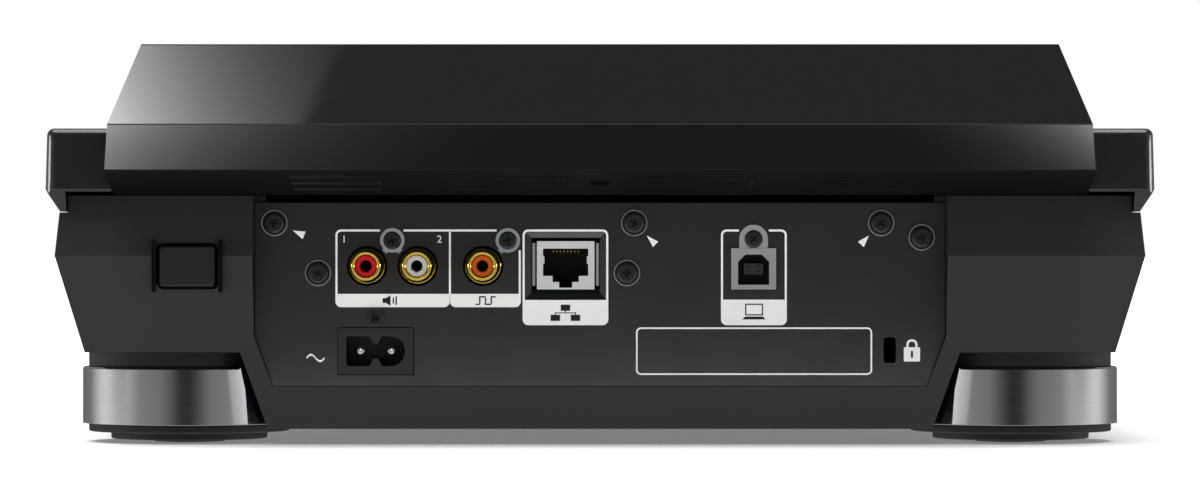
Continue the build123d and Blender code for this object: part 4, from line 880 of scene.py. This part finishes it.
# Nickel plate on drawn steel: a mid grey metal with a satin blur
shell_nickel = grained("nickel_plated_shell", "A6A8AA", pits=(0.8, 0.006), rough=(0.32, 0.46), Metallic=1.0)
# Nylon with a little white in it: dark grey, with a soft sheen
inlet_nylon = grained("moulded_nylon_grey", "2B2B2C", pits=(0.5, 0.01), rough=(0.4, 0.55))
bright.append(moulded("usb_shell", shell_nickel, shell_edge))
moulded("usb_tongue", inlet_nylon, tongue_edge)
tongue = centre_of(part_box("usb_tongue")) / MM
# Painted shade: four black nylon marks on the tongue, where its contacts' slots are
for number, (column, row) in enumerate(((-1, 1), (1, 1), (-1, -1), (1, -1)), 1):
    across, up = tongue.x + column * slot_shade_reach, tongue.z + row * slot_shade_rise
    slot_shade_sides = (across - slot_shade_half_width, across + slot_shade_half_width)
    slot_shade_heights = (up - slot_shade_half_height, up + slot_shade_half_height)
    slot_shade = bar(f"data_slot_shade_{number}", slot_shade_sides, slot_shade_depths, slot_shade_heights, tongue_edge)
    place(slot_shade, nylon, "usb_tongue", replaces=False)

# Mains inlet
# A dark grey nylon housing snapped into the panel from behind, with two nickel plated brass pins whose ends
# are rounded.
housing_edge = 0.15
pin_steps = 6
dome_share = 0.6
dome_reach = 0.97
# Nickel plate on turned brass: a pale, slightly warm metal with a clear shine
nickel = grained("nickel_plated_brass", "D8D8D6", pits=(0.5, 0.004), rough=(0.16, 0.28), Metallic=1.0)
moulded("inlet_housing", inlet_nylon, housing_edge)
for number, box in enumerate(solids("inlet_pins"), 1):
    radius, length = half_width(box), (box[1].y - box[0].y) / MM
    profile = [(radius, 0.0)]
    for step in range(pin_steps + 1):
        angle = step / pin_steps * pi / 2
        profile.append((radius * cos(dome_reach * angle), length - dome_share * radius * (1 - sin(angle))))
    pin = turned(f"inlet_pin_{number}", profile, steps=48)
    soften_edges(pin, 0.0, angle=20)
    pin.data.transform(pointing_back(box))
    bright.append(place(pin, nickel, "inlet_pins"))

# Power button
# A rounded cap of the case's own black ABS, between two moulded guard ribs. It slides in the shoulder's
# opening and presses the mains switch behind it.
moulded("power_button", moulded_abs, 0.0)

# Top cover
# The deck is a second black ABS moulding, with a skirt that turns under at its foot and laps over the case.
# Screws through the case's floor hold the two together.
cover_edge = 0.3
# ABS from a smoother mould: a satin sheen, narrower than the case's
satin_abs = grained("satin_abs_black", "19191A", pits=(case_grain, 0.004), rough=(0.2, 0.3))
top_cover = moulded("top_cover", satin_abs, cover_edge)

# Jog wheel
# A moulded wheel with finger dimples round its rim carries a spun aluminium plate, and turns round a fixed
# display in the middle.
wheel_edge = 0.25
plate_edge = 0.2
moulded("jog_wheel", satin_abs, wheel_edge)
# Aluminium turned on a lathe and anodised dark: rings round its middle that spread the light into a fan.
# They are drawn 1.6 mm wide, several times coarser than the tool's marks, so that they show
lathe_ring = 1.6
dark_aluminium, tree, shader = start_material("spun_aluminium_dark", "77787B", Metallic=1.0)
plate_middle = centre_of(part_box("jog_plate"))
where = add(tree, "ShaderNodeTexCoord").outputs["Object"]
spoke = add(tree, "ShaderNodeVectorMath", {0: where, 1: plate_middle}, operation="SUBTRACT").outputs[0]
flat_spoke = add(tree, "ShaderNodeVectorMath", {0: spoke, 1: (1, 1, 0)}, operation="MULTIPLY").outputs[0]
reach = add(tree, "ShaderNodeVectorMath", {0: flat_spoke}, operation="LENGTH").outputs["Value"]
turning = add(tree, "ShaderNodeTexNoise", {
    "W": reach, "Scale": 1 / (lathe_ring * MM), "Detail": 2.0,
}, noise_dimensions="1D").outputs["Fac"]
ring_rough = add(tree, "ShaderNodeMapRange", {
    "Value": turning, "From Min": 0.3, "From Max": 0.7, "To Min": 0.24, "To Max": 0.36,
})
ring_bump = add(tree, "ShaderNodeBump", {"Height": turning, "Strength": 0.3, "Distance": 0.02 * MM})
tree.links.new(ring_rough.outputs[0], shader.inputs["Roughness"])
tree.links.new(ring_bump.outputs["Normal"], shader.inputs["Normal"])
jog_plate = moulded("jog_plate", dark_aluminium, plate_edge)
# Display glass over a dark screen: black and clear, with the room mirrored in it
display_glass = grained(
    "display_glass_black", "050506", pits=(6.0, 0.001), rough=(0.04, 0.09), Coat_Weight=0.5)
jog_display = moulded("jog_display", display_glass, wheel_edge)

# Keys, levers and knobs on the deck
# The keys are moulded ABS caps in dark grey, each over its own switch. The fader's knob, the lever and the
# turning knobs are black mouldings with a soft-touch lacquer, pressed on to their stems.
knob_shade = "18181A"
knob_edge = 0.2
flute_depth = 0.25
# ABS with a light grain: dark grey, with a quiet sheen
key_grey = grained("moulded_abs_grey", "39393B", pits=(0.4, 0.008), rough=(0.34, 0.48))
# Soft-touch lacquer: black and dull, like fine suede
knob_black = grained("soft_touch_black", knob_shade, pits=(0.4, 0.008), rough=(0.48, 0.62))
bodies = frame["record"]["behaviour"]["bodies"]
for node in sorted(node for nodes in bodies.values() for node in nodes):
    if node.endswith("_button") and node != "power_button":
        moulded(node, key_grey, 0.0)
for node in ("tempo_knob", "direction_lever"):
    moulded(node, knob_black, knob_edge)


def fluted_grip(node, count):
    """The soft touch of a knob, with grip flutes round its own axis that show as fine upright lines."""
    material, tree, shader = start_material(f"fluted_soft_touch_{node}", knob_shade, Roughness=0.52)
    where = add(tree, "ShaderNodeTexCoord").outputs["Object"]
    spot = centre_of(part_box(node))
    centre = (spot.x, spot.y, 0)
    spoke = add(tree, "ShaderNodeVectorMath", {0: where, 1: centre}, operation="SUBTRACT").outputs[0]
    axes = add(tree, "ShaderNodeSeparateXYZ", {"Vector": spoke}).outputs
    turn = add(tree, "ShaderNodeMath", {0: axes["Y"], 1: axes["X"]}, operation="ARCTAN2").outputs[0]
    flutes = add(tree, "ShaderNodeMath", {0: turn, 1: count}, operation="MULTIPLY").outputs[0]
    wave = add(tree, "ShaderNodeMath", {0: flutes}, operation="SINE").outputs[0]
    bump = add(tree, "ShaderNodeBump", {"Height": wave, "Strength": 0.8, "Distance": flute_depth * MM})
    tree.links.new(bump.outputs["Normal"], shader.inputs["Normal"])
    return material


for node, count in (("jog_adjust_knob", 30), ("brake_knob", 30), ("browse_knob", 42)):
    moulded(node, fluted_grip(node, count), knob_edge)

# Printed marks on the deck
# White ink on the key caps and round the controls: plain pictograms, and scales of short lines. A coloured
# ring marks each of the two large round keys.
play_half = 3.2
pause_width = 1.2
key_ring_inset, key_ring_width = 3.2, 0.9
skip_length, skip_half = 2.4, 1.3
stop_bar = (2.5, 2.9)
cue_digit = 2.6
pointer_half = 0.35
pointer_shares = (0.35, 0.85)
dial_dots, dial_sweep, dial_gap = 11, 140, 2.6
dot_half, dot_corner = 0.35, 0.3
tick_pitch, tick_half, tick_gap = 9.0, 0.2, 1.4
tick_length, middle_tick_length = 2.6, 4.0
ticks_each_way = 5
tempo_line_inset, tempo_line_half = 0.5, 0.4
# Printing ink in signal colours, with a little more gloss than the white
green_ink = grained("printed_ring_green", "2FA24B", pits=(0.25, 0.004), rough=(0.34, 0.5))
amber_ink = grained("printed_ring_amber", "D98A1E", pits=(0.25, 0.004), rough=(0.34, 0.5))
deck_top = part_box("top_cover")[1].z


def on_top(piece, node, material=white_ink):
    """Print artwork, drawn round its own middle, on top of a node and let it ride with it."""
    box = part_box(node)
    spot = centre_of(box)
    return print_on(piece, Matrix.Translation((spot.x, spot.y, box[1].z)), material, node)


def on_deck(piece, spot):
    """Print artwork, drawn round its own middle, on the deck at a place in metres."""
    view = Matrix.Translation((spot.x, spot.y, deck_top))
    return print_on(piece, view, white_ink, "top_cover")


def arrow(name, left, right, half_height):
    """A triangle that points from its left end to its right end, in millimetres."""
    return flat_shape(name, ((left, -half_height), (right, 0.0), (left, half_height)))


def flat_ring(name, outer, inner):
    """A flat ring, its radii in millimetres."""
    bpy.ops.object.select_all(action="DESELECT")
    bpy.ops.mesh.primitive_circle_add(vertices=96, radius=outer * MM, fill_type="NGON", location=(0, 0, 0))
    piece = bpy.context.object
    piece.name = name
    bpy.ops.object.mode_set(mode="EDIT")
    bpy.ops.mesh.select_all(action="SELECT")
    bpy.ops.mesh.inset(thickness=(outer - inner) * MM)
    bpy.ops.mesh.delete(type="FACE")
    bpy.ops.object.mode_set(mode="OBJECT")
    return piece


play_marks = [arrow("play", -5.0, 0.4, play_half)]
for left in (1.6, 4.0):
    play_marks.append(flat_rectangle("pause", left, left + pause_width, -play_half, play_half))
on_top(join(play_marks, "play_mark"), "play_button")
for node, ink in (("play_button", green_ink), ("cue_button", amber_ink)):
    outer = half_width(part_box(node)) - key_ring_inset
    on_top(flat_ring(f"{node}_ring", outer, outer - key_ring_width), node, ink)
for kind in ("search", "track"):
    for way_name, way in (("back", -1), ("forward", 1)):
        node = f"{kind}_{way_name}_button"
        marks = [
            arrow("first", -skip_length * way, 0.0, skip_half),
            arrow("second", 0.0, skip_length * way, skip_half),
        ]
        if kind == "track":
            ends = sorted(way * end for end in stop_bar)
            marks.append(flat_rectangle("stop", *ends, -skip_half, skip_half))
        on_top(join(marks, f"{node}_mark"), node)
for number, letter in enumerate("abc", 1):
    node = f"hot_cue_{letter}_button"
    on_top(flat_text(f"{node}_mark", str(number), (0, 0), cue_digit), node)
for node in ("jog_adjust_knob", "brake_knob"):
    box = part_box(node)
    radius = half_width(box)
    pointer_ends = [share * radius for share in pointer_shares]
    on_top(flat_rectangle(f"{node}_pointer", -pointer_half, pointer_half, *pointer_ends), node)
    dots = []
    for step in range(dial_dots):
        angle = radians(90 - dial_sweep + 2 * dial_sweep * step / (dial_dots - 1))
        dot = flat_rectangle("dot", -dot_half, dot_half, -dot_half, dot_half, dot_corner)
        move = Vector((cos(angle), sin(angle), 0)) * (radius + dial_gap) * MM
        dot.data.transform(Matrix.Translation(move))
        dots.append(dot)
    on_deck(join(dots, f"{node}_scale"), centre_of(box))
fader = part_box("tempo_knob")
fader_half = half_width(fader)
ticks = []
for step in range(-ticks_each_way, ticks_each_way + 1):
    length = tick_length if step else middle_tick_length
    for side in (-1, 1):
        ends = sorted(side * (fader_half + tick_gap + reach) for reach in (0.0, length))
        middle = tick_pitch * step
        ticks.append(flat_rectangle("tick", *ends, middle - tick_half, middle + tick_half))
on_deck(join(ticks, "tempo_scale"), centre_of(fader))
line_half = fader_half - tempo_line_inset
on_top(flat_rectangle("tempo_line", -line_half, line_half, -tempo_line_half, tempo_line_half), "tempo_knob")

# Display hood
# A folded shell of polished black ABS that fills a notch in the deck and carries the display on its front.
# Its back mirrors the studio. A hole in the middle of its vented underside lets its screw in.
hood_edge = 0.45
bezel_edge = 0.2
port_edge = 0.05
underside_normal = -0.2
hole_reach = 14 * MM
vent_reach = 110 * MM
vents_rear = 188 * MM
vents_top = 76.5 * MM
vent_end_normal = 0.2
# ABS from a polished mould: a black mirror, with a faint waviness
gloss_abs = grained("polished_abs_black", "151516", pits=(9.0, 0.0012), rough=(0.03, 0.06))
hood = moulded("display_hood", gloss_abs, hood_edge)
# Its underside, with the wall of the screw's hole and the vents' ends, comes from a deeply grained part of
# the mould. Its colour is darker and its shine weaker than the rest of the hood's: painted shade
grained_abs_and_shade = grained(
    "grained_abs_painted_shade", "060607", pits=(0.6, 0.02), rough=(0.6, 0.8), Specular_IOR_Level=0.12)
hood.data.materials.append(grained_abs_and_shade)
# Painted shade: faces that look down, and those in the hole and at the vents' ends, take the darker material
for face in hood.data.polygons:
    spot = face.center
    at_vents = abs(spot.x) < vent_reach and 0 < spot.y < vents_rear and spot.z < vents_top
    in_opening = at_vents and (abs(spot.x) < hole_reach or abs(face.normal.x) > vent_end_normal)
    face.material_index = int(face.normal.z < underside_normal or in_opening)
bezel = moulded("display_bezel", satin_abs, bezel_edge)
screen = moulded("screen_glass", display_glass, bezel_edge)
finish_node("lcd_panel", display_glass)
port = moulded("usb_port", tin_plate, port_edge)
# The overhead light is shaded off the hood, the displays and the bare metal on the deck, which would glare
shaded = bpy.data.collections.new("out_of_glare")
for piece in (hood, bezel, screen, port, jog_plate, jog_display):
    shaded.objects.link(piece)
for entry in shaded.collection_objects:
    entry.light_linking.link_state = "EXCLUDE"
overhead.light_linking.receiver_collection = shaded

# Light cards
# Glowing panels in the studio, each for the shiny pieces that it is meant for. They hang over the hood, and
# stand on both sides of the player, close beside its rear feet, and behind the camera.


def light_card(name, viewers, corners, start, rates=(0.0, 0.0, 0.0)):
    """A flat glowing panel through four corners in millimetres, seen by some pieces only. Its glow is e to
    the power of a start and a rate a metre along each axis."""
    bpy.ops.object.select_all(action="DESELECT")
    bpy.ops.mesh.primitive_plane_add(size=1, location=(0, 0, 0))
    card = bpy.context.object
    card.name = name
    for index, corner in zip((0, 1, 3, 2), corners):
        card.data.vertices[index].co = Vector(corner) * MM
    glow = bpy.data.materials.new(f"{name}_glow")
    glow.use_nodes = True
    tree = glow.node_tree
    tree.nodes.clear()
    where = add(tree, "ShaderNodeTexCoord").outputs["Object"]
    along = add(tree, "ShaderNodeVectorMath", {0: where, 1: rates}, operation="DOT_PRODUCT").outputs["Value"]
    power = add(tree, "ShaderNodeMath", {0: along, 1: start}, operation="ADD").outputs[0]
    strength = add(tree, "ShaderNodeMath", {0: power}, operation="EXPONENT").outputs[0]
    light = add(tree, "ShaderNodeEmission", {"Strength": strength}).outputs[0]
    add(tree, "ShaderNodeOutputMaterial", {"Surface": light})
    card.data.materials.append(glow)
    card.visible_camera = False
    card.visible_shadow = False
    lit = bpy.data.collections.new(f"{name}_viewers")
    for piece in viewers:
        lit.objects.link(piece)
    card.light_linking.receiver_collection = lit


def across_room(left, right, depth, low, high):
    """The corners of an upright card that faces along the room."""
    return ((left, depth, low), (right, depth, low), (right, depth, high), (left, depth, high))


def along_side(foot, top, near, far, low, high):
    """The corners of a card beside the player, whose foot and top stand so far out."""
    return ((foot, near, low), (foot, far, low), (top, far, high), (top, near, high))


# The slope's bright end, with its slanted edge
light_card("slope_card", [hood], ((110, 620, 1217), (300, 620, 1217), (300, 740, 1163), (169, 740, 1163)),
           -10.53, (24.9, 10.2, 0.0))
# The ends of the hood's upright face
light_card("left_card", [hood], across_room(40, 340, 1700, 60, 160), -7.43, (23.2, 0.0, 25.0))
light_card("right_card", [hood], across_room(-340, -60, 1700, 60, 160), -17.23, (-42.0, 0.0, 59.0))
# Thin lines along the outer edges, and the bright inner end of each rear foot's ring
for side, name in ((1, "left"), (-1, "right")):
    light_card(f"{name}_rim_card", [top_cover, bottom_case, hood, *sleeves],
               along_side(side * 1000, side * 1000, 170, 480, 20, 150), 3.0)
    light_card(f"{name}_ring_card", rings,
               along_side(side * 97.0, side * 100.3, 148.5, 154.8, 5.3, 21.3), 15.2, (0.0, -100.0, 0.0))
# The fold between the hood's slope and its upright face
light_card("fold_card", [hood],
           ((-900, 1300, 700), (900, 1300, 700), (900, 1100, 1000), (-900, 1100, 1000)), 0.9)
# The bare metal of the sockets
light_card("socket_card", [*bright, *sleeves], across_room(-450, 450, 1760, 40, 700), 0.4, (0.4, 0.0, 0.5))

# Table light
# One of the lamps under the opal table: a strip along the foot of the sockets' panel. It shines up on the
# panel alone, and makes its lower half a little paler than the upper.
strip_length, strip_width = 220 * MM, 25 * MM
strip_depth = 0.5 * MM
strip_power = 0.088
bpy.ops.object.select_all(action="DESELECT")
bpy.ops.object.light_add(
    type="AREA", location=(0, panel_face + strip_width / 2, -strip_depth), rotation=(pi, 0, 0))
strip = bpy.context.object
strip.name = "table_strip_light"
strip.data.shape = "RECTANGLE"
strip.data.size = strip_length
strip.data.size_y = strip_width
strip.data.energy = strip_power
strip.data.use_shadow = False
above_strip = bpy.data.collections.new("table_strip_viewers")
above_strip.objects.link(rear_panel)
strip.light_linking.receiver_collection = above_strip
